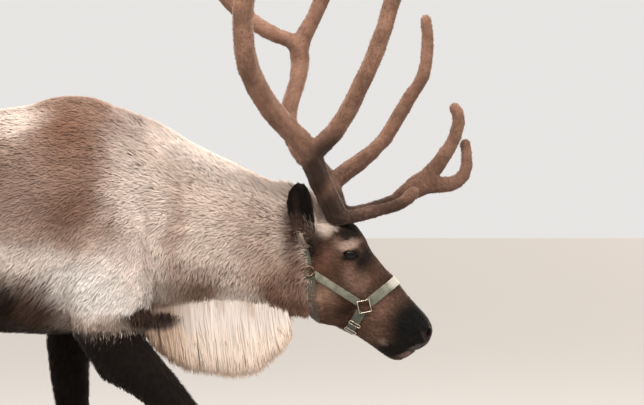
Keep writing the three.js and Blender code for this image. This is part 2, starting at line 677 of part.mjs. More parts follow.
// Tail: a short core with locks down its back and sides
function tailCore() {
  const stations = [
    [-925, 0, 962, 32, 34], [-956, 0, 936, 28, 30], [-972, 0, 895, 20, 24], [-976, 0, 862, 10, 13],
  ];
  return tube(stations, { sides: 8, steps: 4 });
}

function tailLocks() {
  return [-1.8, -0.6, 0.6, 1.8].flatMap((across) =>
    [0, 1].map((tier) => {
      const y = across * 10;
      const back = -958 - 10 * (1 - Math.abs(across) / 3) - 4 * tier;
      const places = [
        vec(back + 14, y * 0.8, 930 - 30 * tier),
        vec(back - 4, y * 1.1, 895 - 26 * tier),
        vec(back - 12, y * 1.2, 850 - 24 * tier),
        vec(around(back - 10, 4), y * 1.1, around(812 - 22 * tier, 7) + 8 * Math.abs(across)),
      ];
      return lock(places, around(15, 1.5), around(5, 0.6), vec(0, 1, 0), around(0, 0.4));
    }),
  );
}

// How far out the head or neck lies at a place of the head's side view
function bodySide(u, v) {
  const place = headPoint(u, v, 0);
  const top = neckTop(place.x);
  const bottom = neckBottom(place.x);
  const middle = bottom + (top - bottom) * 0.46;
  const reach = place.z > middle ? top - middle : middle - bottom;
  const height = (place.z - middle) / reach;
  const inNeck = place.x < neckEndX && Math.abs(height) < 1;
  const neckSide = inNeck ? neckHalf(place.x) * Math.sqrt(1 - height ** 2) ** 0.95 : 0;
  return Math.max(neckSide, Math.abs(headSide(u, v)));
}

// Halter: bands of a shell over the head and neck.
// Its fittings and strap directions are read from the side view.
const halter = {
  square: { ...headPlace(364.3, 306.5, -52), radius: 20.5, bar: 2.1, corners: 4, turn: 0.1 },
  ring: { ...headPlace(309, 271, -68), radius: 12, bar: 2.1, corners: 14, turn: 0 },
};
const sideView = ({ u, v }) => {
  const place = headPoint(u, v, 0);
  return [place.x, place.z];
};
const squarePlace = sideView(halter.square);
const ringPlace = sideView(halter.ring);
const directionOf = (from, to) =>
  new THREE.Vector2(to[0] - from[0], to[1] - from[1]).normalize().toArray();
const strapDirections = {
  nose: directionOf([361, -309], [397, -281]),
  chin: directionOf([360, -310], [345, -336]),
  cheek: directionOf(squarePlace, ringPlace),
  crown: directionOf([309, -271], [293, -192]),
  throat: directionOf([309, -271], [314.5, -318]),
};

function coveredForm(grow) {
  return unite(headShell(grow), neckSolid(grow));
}

const strapInner = coveredForm(0.5);
const strapOuter = coveredForm(0.5 + strapThickness);
const strapShell = cut(strapOuter, strapInner);

function band(from, direction, start, length, lowY, highY, width = strapWidth) {
  const origin = [from[0] + direction[0] * start, from[1] + direction[1] * start];
  return strapShell.intersect(bandBox(origin, direction, length - start, width, lowY, highY));
}

// A ring or square of round bar that lies on the side, over its straps
function barLoop(place, side, grow = 0) {
  const { radius, bar, corners, turn } = place;
  const reach = radius * 0.9;
  const sideAt = (du, dv) => bodySide(place.u + du, place.v + dv);
  const rim = [sideAt(0, 0), sideAt(reach, 0), sideAt(-reach, 0), sideAt(0, reach), sideAt(0, -reach)];
  const geometry = new THREE.TorusGeometry(radius, bar + grow, 5, corners);
  geometry.rotateZ(turn);
  geometry.rotateY(Math.atan2(side * (rim[1] - rim[2]), 2 * reach));
  geometry.rotateX(Math.atan2(-side * (rim[3] - rim[4]), 2 * reach));
  const out = Math.max(rim[0], (rim[1] + rim[2]) / 2, (rim[3] + rim[4]) / 2) + 0.5 + bar + 1.2;
  geometry.translate(place.u, place.v, -side * out);
  return solid(geometry.applyMatrix4(headTurn));
}

function halterLoops(grow = 0) {
  const loops = [];
  for (const side of [-1, 1]) {
    const word = side < 0 ? "right" : "left";
    loops.push({ name: `halter_square_${word}`, form: barLoop(halter.square, side, grow) });
    loops.push({ name: `halter_ring_${word}`, form: barLoop(halter.ring, side, grow) });
  }
  return loops;
}

function halterStraps() {
  const { nose, chin, cheek, crown, throat } = strapDirections;
  const cheekEnd = Math.hypot(ringPlace[0] - squarePlace[0], ringPlace[1] - squarePlace[1]) - 12;
  const wide = 200;
  const throatRoom = bandBox(ringPlace, throat, 60, strapWidth + 2 * gap, -wide, wide);
  const cheekBand = (lowY, highY) =>
    cut(band(squarePlace, cheek, 16, cheekEnd, lowY, highY, 18), throatRoom);
  return [
    { name: "halter_noseband", form: band(squarePlace, nose, 14, 160, -wide, wide) },
    { name: "halter_chinstrap", form: band(squarePlace, chin, 14, 130, -wide, wide) },
    { name: "halter_cheek_right", form: cheekBand(-wide, -10) },
    { name: "halter_cheek_left", form: cheekBand(10, wide) },
    { name: "halter_crown", form: band(ringPlace, crown, 13, 300, -wide, wide, 18) },
    { name: "halter_throat", form: band(ringPlace, throat, 13, 260, -wide, wide) },
  ];
}

// Assembly
const root = new THREE.Group();
const looks = {
  trunk: [coat.trunk, 0.9, 0],
  head: [coat.head, 0.9, 0],
  white: [coat.white, 0.9, 0],
  leg: [coat.leg, 0.85, 0],
  velvet: [velvet, 0.95, 0],
  horn: [horn, 0.5, 0],
  eye: [0x120c0a, 0.1, 0],
  webbing: [webbing, 0.85, 0],
  metal: [metal, 0.3, 1],
};

function meshOf(name, form, look) {
  const { numProp, vertProperties, triVerts } = largest(form).getMesh();
  const geometry = new THREE.BufferGeometry();
  geometry.setAttribute("position", new THREE.BufferAttribute(vertProperties, numProp));
  geometry.setIndex(new THREE.BufferAttribute(triVerts, 1));
  geometry.computeVertexNormals();
  const [color, roughness, metalness] = looks[look];
  const mesh = new THREE.Mesh(geometry, new THREE.MeshStandardMaterial({ color, roughness, metalness }));
  mesh.name = name;
  root.add(mesh);
}

const loops = halterLoops();
const loopClearance = halterLoops(gap).map((loop) => loop.form);
const straps = halterStraps().map(({ name, form }) => ({ name, form: largest(cut(form, loopClearance)) }));
loops.forEach(({ name, form }) => meshOf(name, form, "metal"));
straps.forEach(({ name, form }) => meshOf(name, form, "webbing"));

const legForms = legs.map((leg) => ({ leg, whole: legSolid(leg), clear: legSolid(leg, gap) }));
const upperLegs = legForms.map(({ leg, whole }) => whole.trimByPlane([0, 0, 1], leg.bodyLevel));
const trunk = unite(trunkSolid(), upperLegs);
const trunkClear = trunkSolid(gap);
meshOf("torso", trunk, "trunk");

for (const { leg, whole, clear } of legForms) {
  const below = cut(whole.trimByPlane([0, 0, -1], gap - leg.bodyLevel), trunkClear);
  meshOf(`${leg.name}_upper`, below.trimByPlane([0, 0, 1], leg.kneeLevel + gap), "leg");
  meshOf(`${leg.name}_lower`, below.trimByPlane([0, 0, -1], -leg.kneeLevel), "leg");
  for (const [word, side] of [["outer", 1], ["inner", -1]]) {
    const outward = Math.sign(footOf(leg)[1]) * side;
    meshOf(`hoof_${leg.name}_${word}`, claw(leg, outward), "horn");
    const blockers = [clear, claw(leg, outward, gap)];
    meshOf(`dewclaw_${leg.name}_${word}`, cut(dewclaw(leg, outward), blockers), "horn");
  }
}

const upperClear = legForms.map(({ leg, clear }) => clear.trimByPlane([0, 0, 1], leg.bodyLevel));
const bodyClear = unite(trunkClear, upperLegs, upperClear);
const head = wholeHead();
const headClear = headShell(gap);
const neck = cut(neckSolid(), bodyClear, headClear);
meshOf("neck", neck, "trunk");
THREE.MathUtils.seededRandom(11);
const maneRoom = [neckSolid(gap), bodyClear, headClear, ...legForms.map(({ clear }) => clear)];
meshOf("throat_mane", cut(unite(maneCore(), maneLocks()), maneRoom), "white");
meshOf("tail", cut(unite(tailCore(), tailLocks()), bodyClear), "white");

const baseClear = [];
const done = new Map();
for (const { name, tines } of antlerForms) {
  const side = name.includes("right") ? "right" : "left";
  const own = unite(tines.map((stations) => tine(stations)));
  const parents = [...done].filter(([other]) => other.includes(side)).map(([, clear]) => clear);
  meshOf(name, cut(own, parents, headClear), "velvet");
  const clear = unite(tines.map((stations) => tine(stations, gap)));
  done.set(name, clear);
  if (name.endsWith("_base")) baseClear.push(clear);
}

const neckClear = neckSolid(gap);
const crownRoom = bandBox(ringPlace, strapDirections.crown, 200, strapWidth + 2 * gap, -200, 200);
const crownClear = coveredForm(0.5 + strapThickness + gap).intersect(crownRoom);
const earRoom = unite(headClear, neckClear, crownClear);
for (const [word, side] of [["right", -1], ["left", 1]]) {
  meshOf(`ear_${word}`, cut(earSolid(side), earRoom, baseClear), "head");
  meshOf(`eye_${word}`, eyeball(side), "eye");
}
meshOf("head", head, "head");

// The origin goes to the floor, under the middle of the whole
const box = new THREE.Box3().setFromObject(root);
const middle = box.getCenter(vec());
root.position.set(-middle.x, -middle.y, -box.min.z);

export default root;
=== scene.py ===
# Looks for the reindeer: one skin under a coat of tufts, with the mane, antlers, hooves, eyes and halter
import math

import bmesh
import bpy
import numpy as np
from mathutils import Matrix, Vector
from mathutils.bvhtree import BVHTree


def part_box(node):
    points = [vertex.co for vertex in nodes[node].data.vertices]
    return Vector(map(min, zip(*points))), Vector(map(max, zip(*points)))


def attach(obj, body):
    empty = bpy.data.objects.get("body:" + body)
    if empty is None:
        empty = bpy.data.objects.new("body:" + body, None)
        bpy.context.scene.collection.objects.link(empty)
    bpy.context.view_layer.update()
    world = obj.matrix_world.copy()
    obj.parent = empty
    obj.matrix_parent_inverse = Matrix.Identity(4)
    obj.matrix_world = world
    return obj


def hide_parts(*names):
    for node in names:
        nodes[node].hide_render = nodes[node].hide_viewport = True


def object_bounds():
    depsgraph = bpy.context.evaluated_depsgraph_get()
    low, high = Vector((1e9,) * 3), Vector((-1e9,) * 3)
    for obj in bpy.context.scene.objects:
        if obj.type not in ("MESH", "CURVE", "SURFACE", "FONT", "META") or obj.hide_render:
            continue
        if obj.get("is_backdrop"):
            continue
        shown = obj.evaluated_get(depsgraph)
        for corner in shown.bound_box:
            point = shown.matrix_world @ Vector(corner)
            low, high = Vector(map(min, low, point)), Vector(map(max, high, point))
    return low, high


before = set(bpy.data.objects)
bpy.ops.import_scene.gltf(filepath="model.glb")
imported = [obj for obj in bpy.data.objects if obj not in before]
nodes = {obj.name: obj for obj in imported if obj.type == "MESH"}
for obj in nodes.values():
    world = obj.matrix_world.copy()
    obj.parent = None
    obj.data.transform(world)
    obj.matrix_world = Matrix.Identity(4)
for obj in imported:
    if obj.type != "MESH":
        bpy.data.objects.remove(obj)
cad_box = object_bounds()
thin = 1.0

# The side view that places are read from, in metres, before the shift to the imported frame
SCALE = 0.0024
DISTANCE = 4.5
VIEW_COLUMN, VIEW_ROW = 322.0, 202.5
VIEW_X, VIEW_Z = 0.5808, 0.846
VIEW_WIDTH = 644
EYE_SIDE = 0.0575
EYE_PLACE = Vector((0.64695, -EYE_SIDE, 0.72196))
eye_low, eye_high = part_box("eye_right")
SHIFT = (eye_low + eye_high) / 2 - EYE_PLACE
SHIFTED = np.array(SHIFT)
MIDDLE_Y = SHIFT.y

HEAD_PITCH = math.radians(39)
HEAD_ORIGIN = np.array([0.528, 0, 0.713]) + SHIFTED
ALONG_HEAD = np.array([math.cos(HEAD_PITCH), 0, -math.sin(HEAD_PITCH)])
OVER_HEAD = np.array([math.sin(HEAD_PITCH), 0, math.cos(HEAD_PITCH)])


def seen(column, row, y=0.0):
    """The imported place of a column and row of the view, at a depth y."""
    size = SCALE * (DISTANCE + y) / DISTANCE
    x = VIEW_X + (column - VIEW_COLUMN) * size
    z = VIEW_Z - (row - VIEW_ROW) * size
    return np.array([x, y, z]) + SHIFTED


def head_place(u, v, w):
    return HEAD_ORIGIN + ALONG_HEAD * u + OVER_HEAD * v + np.array([0, w, 0])


def tone(red, green, blue):
    """A linear colour from display values of 0 to 255."""
    values = np.array([red, green, blue]) / 255
    linear = np.where(values > 0.04045, ((values + 0.055) / 1.055) ** 2.4, values / 12.92)
    return (*linear, 1.0)


def smooth(low, high, value):
    t = np.clip((value - low) / (high - low), 0, 1)
    return t * t * (3 - 2 * t)


def bell(value, middle, reach):
    return np.exp(-((value - middle) / reach) ** 2)


def vectors(x, y, z):
    """Rows of three from columns and single values."""
    return np.stack(np.broadcast_arrays(x, y, z), axis=1)


def unit(rows):
    return rows / np.linalg.norm(rows, axis=1, keepdims=True).clip(1e-12)


def laid(direction, normal, share=1.0):
    """Unit directions, brought down to the surface by a share."""
    return unit(direction - normal * ((direction * normal).sum(axis=1) * share)[:, None])


def on_left(points):
    """Places with the right half turned over onto the left."""
    return vectors(points[:, 0], MIDDLE_Y + np.abs(points[:, 1] - MIDDLE_Y), points[:, 2])


# Mesh helpers
def merged(bodies):
    """Several bmeshes in one."""
    whole = bmesh.new()
    for body in bodies:
        mesh = bpy.data.meshes.new("part")
        body.to_mesh(mesh)
        body.free()
        whole.from_mesh(mesh)
        bpy.data.meshes.remove(mesh)
    return whole


def welded(names, grow):
    """The nodes' meshes in one bmesh, each welded and pushed out a little."""
    parts = []
    for name in names:
        part = bmesh.new()
        part.from_mesh(nodes[name].data)
        bmesh.ops.remove_doubles(part, verts=part.verts, dist=2e-6)
        part.normal_update()
        for v in part.verts:
            v.co += v.normal * grow
        parts.append(part)
    return merged(parts)


def node_tree(names):
    """A search tree over nodes, and the node of each of its faces."""
    points, faces, owner = [], [], []
    for name in names:
        start = len(points)
        points.extend(v.co.copy() for v in nodes[name].data.vertices)
        for polygon in nodes[name].data.polygons:
            faces.append([start + k for k in polygon.vertices])
            owner.append(name)
    return BVHTree.FromPolygons(points, faces), np.array(owner)


def object_of(name, mesh):
    made = bpy.data.objects.new(name, mesh)
    bpy.context.scene.collection.objects.link(made)
    return made


def edges_of(faces):
    pairs = np.vstack([faces[:, [i, (i + 1) % faces.shape[1]]] for i in range(faces.shape[1])])
    pairs.sort(axis=1)
    return np.unique(pairs, axis=0)


def spread_out(values, edges, rounds=1, strength=0.5):
    """Values averaged with their neighbours over the mesh."""
    count = len(values)
    degree = np.bincount(edges.ravel(), minlength=count).clip(1)
    columns = values.reshape(count, -1).astype(float)
    for _ in range(rounds):
        mean = np.stack([
            np.bincount(edges[:, 0], columns[edges[:, 1], k], count)
            + np.bincount(edges[:, 1], columns[edges[:, 0], k], count)
            for k in range(columns.shape[1])
        ], axis=1) / degree[:, None]
        columns = columns + (mean - columns) * strength
    return columns.reshape(values.shape)


def smoothed(body, voxel, rounds):
    """Corner places and quads of a bmesh's voxel remesh, faired without shrinking."""
    mesh = bpy.data.meshes.new("work")
    body.to_mesh(mesh)
    body.free()
    made = object_of("work", mesh)
    step = made.modifiers.new("remesh", "REMESH")
    step.mode = "VOXEL"
    step.voxel_size = voxel
    result = made.evaluated_get(bpy.context.evaluated_depsgraph_get()).to_mesh()
    points = np.zeros(len(result.vertices) * 3)
    result.vertices.foreach_get("co", points)
    faces = np.zeros(len(result.polygons) * 4, int)
    result.polygons.foreach_get("vertices", faces)
    bpy.data.objects.remove(made)
    points, faces = points.reshape(-1, 3), faces.reshape(-1, 4)
    pairs = edges_of(faces)
    for _ in range(rounds):
        points = spread_out(points, pairs, 1, 0.6)
        points = spread_out(points, pairs, 1, -0.62)
    return points, faces


def normals_of(points, faces):
    across = np.cross(points[faces[:, 2]] - points[faces[:, 0]], points[faces[:, -1]] - points[faces[:, 1]])
    total = np.zeros_like(points)
    for k in range(faces.shape[1]):
        np.add.at(total, faces[:, k], across)
    return unit(total)


def mesh_of(name, points, faces, point_values=None):
    """A smooth mesh from arrays, with float or vector values at its points."""
    mesh = bpy.data.meshes.new(name)
    mesh.vertices.add(len(points))
    mesh.vertices.foreach_set("co", np.ascontiguousarray(points, np.float32).ravel())
    mesh.loops.add(faces.size)
    mesh.loops.foreach_set("vertex_index", faces.ravel().astype(np.int32))
    mesh.polygons.add(len(faces))
    mesh.polygons.foreach_set("loop_start", np.arange(0, faces.size, faces.shape[1], dtype=np.int32))
    mesh.update(calc_edges=True)
    mesh.polygons.foreach_set("use_smooth", np.ones(len(faces), bool))
    for key, values in (point_values or {}).items():
        kind, slot = ("FLOAT_VECTOR", "vector") if values.ndim == 2 else ("FLOAT", "value")
        attribute = mesh.attributes.new(key, kind, "POINT")
        attribute.data.foreach_set(slot, np.ascontiguousarray(values, np.float32).ravel())
    return object_of(name, mesh)


def solid(name, own, grow, voxel, rounds, look, slot):
    """A piece that takes the place of nodes, with their smoothed shape, no lower than the floor."""
    points, faces = smoothed(welded(own, grow), voxel, rounds)
    points[:, 2] = np.maximum(points[:, 2], 0.0)
    dress(mesh_of(name, points, faces), look, slot, *own)


def dress(piece, look, slot, *replaced):
    """Gives a piece its material and the body that it rides, and hides the nodes that it replaces; the slot
    is not used.
    """
    piece.data.materials.append(look)
    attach(piece, "root")
    if replaced:
        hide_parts(*replaced)


def lumps(points, size, seed):
    """A smooth noise of about -1 to 1 from a few waves."""
    draw = np.random.default_rng(seed)
    total = np.zeros(len(points))
    for _ in range(7):
        wave = draw.normal(size=3)
        wave *= draw.uniform(0.6, 1.5) * 2 * math.pi / size / np.linalg.norm(wave)
        total += np.sin(points @ wave + draw.uniform(0, 2 * math.pi))
    return total / 3.2


# Skin: the flesh nodes in one mesh, finer on the head, drawn in by the depth of the coat
LEGS = ["foreleg_left", "foreleg_right", "hindleg_left", "hindleg_right"]
LEG_HALVES = [f"{leg}_{half}" for leg in LEGS for half in ("upper", "lower")]
FLESH = ["torso", "neck", "head", "ear_left", "ear_right"] + LEG_HALVES
HEAD_X = SHIFT.x + 0.492
OVERLAP = 0.02
BODY_VOXEL, HEAD_VOXEL = 0.0084, 0.0023


def core(points, sides=12):
    """A closed loft of ellipses: x, middle z, half y, half z."""
    made = bmesh.new()
    rings = []
    for x, z, half_y, half_z in points:
        angles = np.linspace(0, 2 * math.pi, sides, endpoint=False)
        rings.append([
            made.verts.new((x + SHIFT.x, MIDDLE_Y + half_y * math.cos(a), z + half_z * math.sin(a)))
            for a in angles
        ])
    for first, second in zip(rings, rings[1:]):
        for k in range(sides):
            made.faces.new((first[k], first[(k + 1) % sides], second[(k + 1) % sides], second[k]))
    made.faces.new(rings[0][::-1])
    made.faces.new(rings[-1])
    bmesh.ops.recalc_face_normals(made, faces=made.faces)
    return made


mane_core = core([
    (0.15, 0.60, 0.03, 0.03), (0.19, 0.585, 0.052, 0.05), (0.26, 0.565, 0.058, 0.062),
    (0.36, 0.56, 0.056, 0.066), (0.43, 0.57, 0.048, 0.055), (0.475, 0.59, 0.03, 0.035),
])
tail_core = core([(-0.985, 0.89, 0.012, 0.03), (-0.965, 0.91, 0.024, 0.05), (-0.93, 0.94, 0.028, 0.03)])
body = merged([welded(["torso", "neck"] + LEG_HALVES, 0.0004), mane_core, tail_core])
body_co, body_quads = smoothed(body, BODY_VOXEL, 14)
head_co, head_quads = smoothed(welded(["head", "neck", "ear_left", "ear_right"], 0.0003), HEAD_VOXEL, 5)
head_quads = head_quads[(head_co[head_quads][:, :, 0] > HEAD_X).all(axis=1)]
body_quads = body_quads[(body_co[body_quads][:, :, 0] < HEAD_X + OVERLAP).any(axis=1)]
used, quads = np.unique(np.vstack([body_quads, head_quads + len(body_co)]), return_inverse=True)
quads = quads.reshape(-1, 4)
fine = (used >= len(body_co)).astype(float)
co = np.vstack([body_co, head_co])[used]
edges = edges_of(quads)
normals = normals_of(co, quads)
flesh_tree, owner = node_tree(FLESH + ["throat_mane", "tail"])
names = owner[[flesh_tree.find_nearest(Vector(p))[2] for p in co]]

head_u = (co - HEAD_ORIGIN) @ ALONG_HEAD
head_v = (co - HEAD_ORIGIN) @ OVER_HEAD
side = np.sign(co[:, 1] - MIDDLE_Y)
off_middle = np.abs(co[:, 1] - MIDDLE_Y)
animal_x = co[:, 0] - SHIFT.x
height = co[:, 2]
is_head = names == "head"
is_neck = names == "neck"
is_ear = np.char.startswith(names, "ear")
is_leg = np.char.find(names, "leg_") >= 0
is_lower = np.char.find(names, "_lower") >= 0
is_long = np.isin(names, ["throat_mane", "tail"])


def near(centre, reach):
    """1 at a place of the head on either side, 0 beyond its reach."""
    return 1 - smooth(0.45, 1.0, np.linalg.norm(on_left(co) - centre, axis=1) / reach)


# Mouth: a line along the head and over it, and the bare skin round eyes, nostrils and lips
eye_centre = np.array([EYE_PLACE.x + SHIFT.x, MIDDLE_Y + EYE_SIDE, EYE_PLACE.z])
MOUTH = np.array([
    (0.3636, 0.006), (0.3517, 0.0006), (0.3363, -0.011),
    (0.3216, -0.020), (0.3032, -0.025), (0.2827, -0.028),
])
in_profile = np.column_stack([head_u, head_v])
to_mouth = np.full(len(co), 1.0)
for start, end in zip(MOUTH, MOUTH[1:]):
    run = end - start
    t = np.clip((in_profile - start) @ run / (run @ run), 0, 1)
    to_mouth = np.minimum(to_mouth, np.linalg.norm(in_profile - start - t[:, None] * run, axis=1))
mouth = bell(to_mouth, 0, 0.0026) * is_head
lips = bell(head_v + 0.012, 0.33 * (head_u - 0.33), 0.016) * smooth(0.27, 0.3, head_u) * is_head
bare = np.maximum.reduce([near(eye_centre, 0.04), near(head_place(0.349, 0.054, 0.033), 0.034), lips])

# Depth of the coat, length, half width and rise of its tufts, in millimetres
fields = np.tile([6.0, 17.0, 0.95, 6.6], (len(co), 1))
for where, values in (
        (is_neck, (7, 19, 0.98, 8)), (is_leg, (4, 12, 0.95, 3.6)), (is_lower, (2.6, 9, 0.85, 2.2)),
        (is_head, (2.6, 8, 0.75, 2.2)), (is_ear, (1.2, 8, 0.75, 1.5)), (is_long, (4, 40, 1.6, 10))):
    fields[where] = values
fields = spread_out(fields, edges, 6)
fields[is_head] *= (1 - 0.55 * smooth(0.2, 0.3, head_u[is_head]))[:, None]

STRAP_REACH = 0.014
halter_nodes = [name for name in nodes if name.startswith("halter") and nodes[name].type == "MESH"]
strap_tree, _ = node_tree(halter_nodes)
by_strap = np.zeros(len(co))
for number in np.flatnonzero((is_head | is_neck) & (fine > 0.5)):
    far = strap_tree.find_nearest(Vector(co[number]), STRAP_REACH)[3]
    by_strap[number] = 0 if far is None else 1 - far / STRAP_REACH

jaw = bell(head_u, 0.08, 0.06) * bell(head_v, -0.06, 0.045) * is_head
neck_low = smooth(0.655, 0.60, height) * is_neck
neck_low *= smooth(0.16, 0.24, animal_x) * smooth(0.52, 0.47, animal_x)
over_strap = is_neck * smooth(0.475, 0.51, animal_x) * smooth(0.59, 0.66, height)
elbow_x, _, elbow_z = seen(30, 300, -0.2)
elbow = bell(co[:, 0], elbow_x, 0.06) * bell(height, elbow_z, 0.05) * smooth(0.05, 0.12, off_middle)
for where, longer, higher in (
        (jaw, 8, 1.5), (neck_low, 20, 9), (over_strap, 9, 6.5), (elbow, 38, 8), (by_strap, 4, 3.2)):
    fields[:, 1] += longer * where
    fields[:, 3] += higher * where
fields[:, 1] *= 1 - 0.6 * is_ear * smooth(0.845, 0.885, height)
fields *= 1 - bare[:, None] * [0.9, 0.55, 0, 0.7]
depth, length, width, rise = fields.T * 0.001
tucked = (1 - fine) * smooth(HEAD_X - 0.01, HEAD_X, co[:, 0])
skin_co = co - normals * (depth + 0.0025 * tucked)[:, None]

# Muscle, folds and a little unevenness
swell = 0.004 * lumps(co, 0.16, 3) * ~(is_head | is_ear)
from_lids = np.linalg.norm(on_left(co) - eye_centre, axis=1) / 0.032
folds = np.sin((head_u * 0.6 + head_v) * 900) * np.exp(-(from_lids - 0.85) ** 2 * 40) * is_head
skin_co += normals * (swell + 0.0006 * folds - 0.0022 * mouth)[:, None]
skin_co[:, 2] = np.maximum(skin_co[:, 2], 0.001)

# Lids: an almond opening where the skin steps back behind the eyeball
LID_REACH = 0.0172
from_eye = (skin_co - eye_centre)[:, [0, 2]]
eye_u = from_eye @ ALONG_HEAD[[0, 2]]
eye_v = from_eye @ OVER_HEAD[[0, 2]] - 0.33 * eye_u
lid_half = 0.0088 * np.clip(1 - (eye_u / LID_REACH) ** 2, 0, 1) ** 0.8
opened = smooth(1.12, 0.86, np.abs(eye_v - 0.0004) / (lid_half + 1e-5))
skin_side = np.abs(skin_co[:, 1] - MIDDLE_Y)
opened *= (np.abs(eye_u) < LID_REACH) * is_head * (skin_side > 0.04)
ball_depth = np.sqrt(np.clip(((eye_high.x - eye_low.x) / 2) ** 2 - (from_eye ** 2).sum(axis=1), 0, 1))
behind = np.minimum(skin_side, eye_centre[1] - MIDDLE_Y + ball_depth - 0.0014)
skin_co[:, 1] = MIDDLE_Y + side * (skin_side * (1 - opened) + behind * opened)

# Lie of the coat
flank = smooth(0.95, 0.7, height)
lie = vectors(-1.0, 0.0, -0.05 - flank * (0.65 + 0.7 * bell(animal_x, 0.02, 0.16)))
neck_middle = np.interp(animal_x, [0.02, 0.2, 0.35, 0.5, 0.6], [0.85, 0.81, 0.76, 0.73, 0.72])
neck_share = np.clip((height - neck_middle) / 0.13, -1, 1)
up = smooth(-0.2, 0.9, neck_share)
low = smooth(0.0, -0.9, neck_share)
neck_lie = vectors(-0.95 + 0.75 * low, 0.0, -0.55 + 0.95 * up - 0.5 * low)
head_lie = -ALONG_HEAD - 0.25 * OVER_HEAD * smooth(0.06, -0.05, head_v)[:, None]
for where, way in (
        (is_neck, neck_lie[is_neck]), (is_leg, [-0.15, 0, -1]), (is_head, head_lie[is_head]),
        (is_ear, [-0.02, 0, 1]), (names == "tail", [-0.4, 0, -1]), (names == "throat_mane", [0.1, 0, -1])):
    lie[where] = way
lie[:, 1] += 0.25 * side * is_ear
lie += 0.10 * np.column_stack([lumps(co, 0.09, seed) for seed in (21, 22, 23)])
lie = laid(spread_out(lie, edges, 8), normals)
face_share = spread_out((is_head | is_ear).astype(float), edges, 5)

# Inside of the ear's cup: its skin faces the opening
ear_inner = np.zeros(len(co))
for word, sign in (("left", 1), ("right", -1)):
    own = names == f"ear_{word}"
    opening = np.array([-0.42, sign * 0.9, 0.1])
    z = height[own]
    out = np.interp(z, [0.73, 0.77, 0.81, 0.86, 0.89], [0.066, 0.092, 0.109, 0.117, 0.121])
    middle = vectors(np.interp(z, [0.73, 0.89], [0.553, 0.53]) + SHIFT.x, MIDDLE_Y + sign * out, z)
    towards = middle - opening * 0.004 - co[own]
    ear_inner[own] = ((normals[own] * towards).sum(axis=1) > -0.0005) & ((normals[own] @ opening) > -0.35)
ear_inner = spread_out(ear_inner, edges, 2)

# Along the mouth's line the skin's shade falls to 0, which the coat's material turns to its darkest tone:
# painted shade in the groove
skin = mesh_of("skin", skin_co, quads, {
    "root": skin_co, "along": np.full(len(co), 0.4), "shade": 0.45 * (1 - mouth),
    "face": face_share, "inner": ear_inner,
})

# An unwrap of the skin: each node is laid out round its own line, on its own tile
TILES = {
    "torso": (0.0, 0.0, 0.5, 0.5), "neck": (0.5, 0.0, 0.3, 0.34), "head": (0.5, 0.35, 0.3, 0.3),
    "throat_mane": (0.82, 0.0, 0.17, 0.3), "tail": (0.82, 0.31, 0.1, 0.1),
    "ear_left": (0.82, 0.42, 0.08, 0.12), "ear_right": (0.91, 0.42, 0.08, 0.12),
}
for number, leg in enumerate(LEGS):
    TILES[f"{leg}_upper"] = (0.02 + 0.12 * number, 0.52, 0.11, 0.2)
    TILES[f"{leg}_lower"] = (0.02 + 0.12 * number, 0.74, 0.11, 0.2)
AXES = {"torso": (1, 0, 0), "neck": (0.9, 0, -0.35), "head": tuple(ALONG_HEAD), "throat_mane": (1, 0, 0)}
AXES.update({name: (0, 0, 1) for name in TILES if "leg" in name or "ear" in name or name == "tail"})
BINS = 12


def unwrapped(points, labels, tiles=TILES, axes=AXES):
    """Places on the unwrap: along each node's line, and round it."""
    uv = np.zeros((len(points), 2))
    for label in np.unique(labels):
        own = labels == label
        place = points[own]
        axis = axes.get(label)
        if axis is None:
            centred = place - place.mean(axis=0)
            axis = np.linalg.svd(centred[:: max(1, len(centred) // 2000)], full_matrices=False)[2][0]
        axis = np.array(axis) / np.linalg.norm(axis)
        across = np.cross(axis, [0.0, 1.0, 0.0])
        across = np.cross(axis, [1.0, 0.0, 0.0]) if np.linalg.norm(across) < 0.1 else across
        across /= np.linalg.norm(across)
        run = place @ axis
        share = (run - run.min()) / max(np.ptp(run), 1e-9)
        bins = np.clip((share * BINS).astype(int), 0, BINS - 1)
        counts = np.bincount(bins, minlength=BINS).clip(1)
        a, b = (
            value - np.interp(share, (np.arange(BINS) + 0.5) / BINS, np.bincount(bins, value, BINS) / counts)
            for value in (place @ across, place @ np.cross(axis, across)))
        turn = (np.arctan2(b, a) / (2 * math.pi)) % 1.0
        x, y, w, h = tiles[label]
        uv[own] = np.column_stack([x + 0.004 + (w - 0.008) * share, y + 0.004 + (h - 0.008) * turn])
    return uv


# Tufts: shares of the length and swells of the width at their rings, and their patch of the unwrap
SHORT = ((0.0, 0.8), (0.5, 1.0))
LOOSE = ((0.0, 0.8), (0.35, 1.0), (0.7, 0.7))
LONG = ((0.0, 0.7), (0.4, 1.0), (0.75, 0.75))
PATCH = 0.003


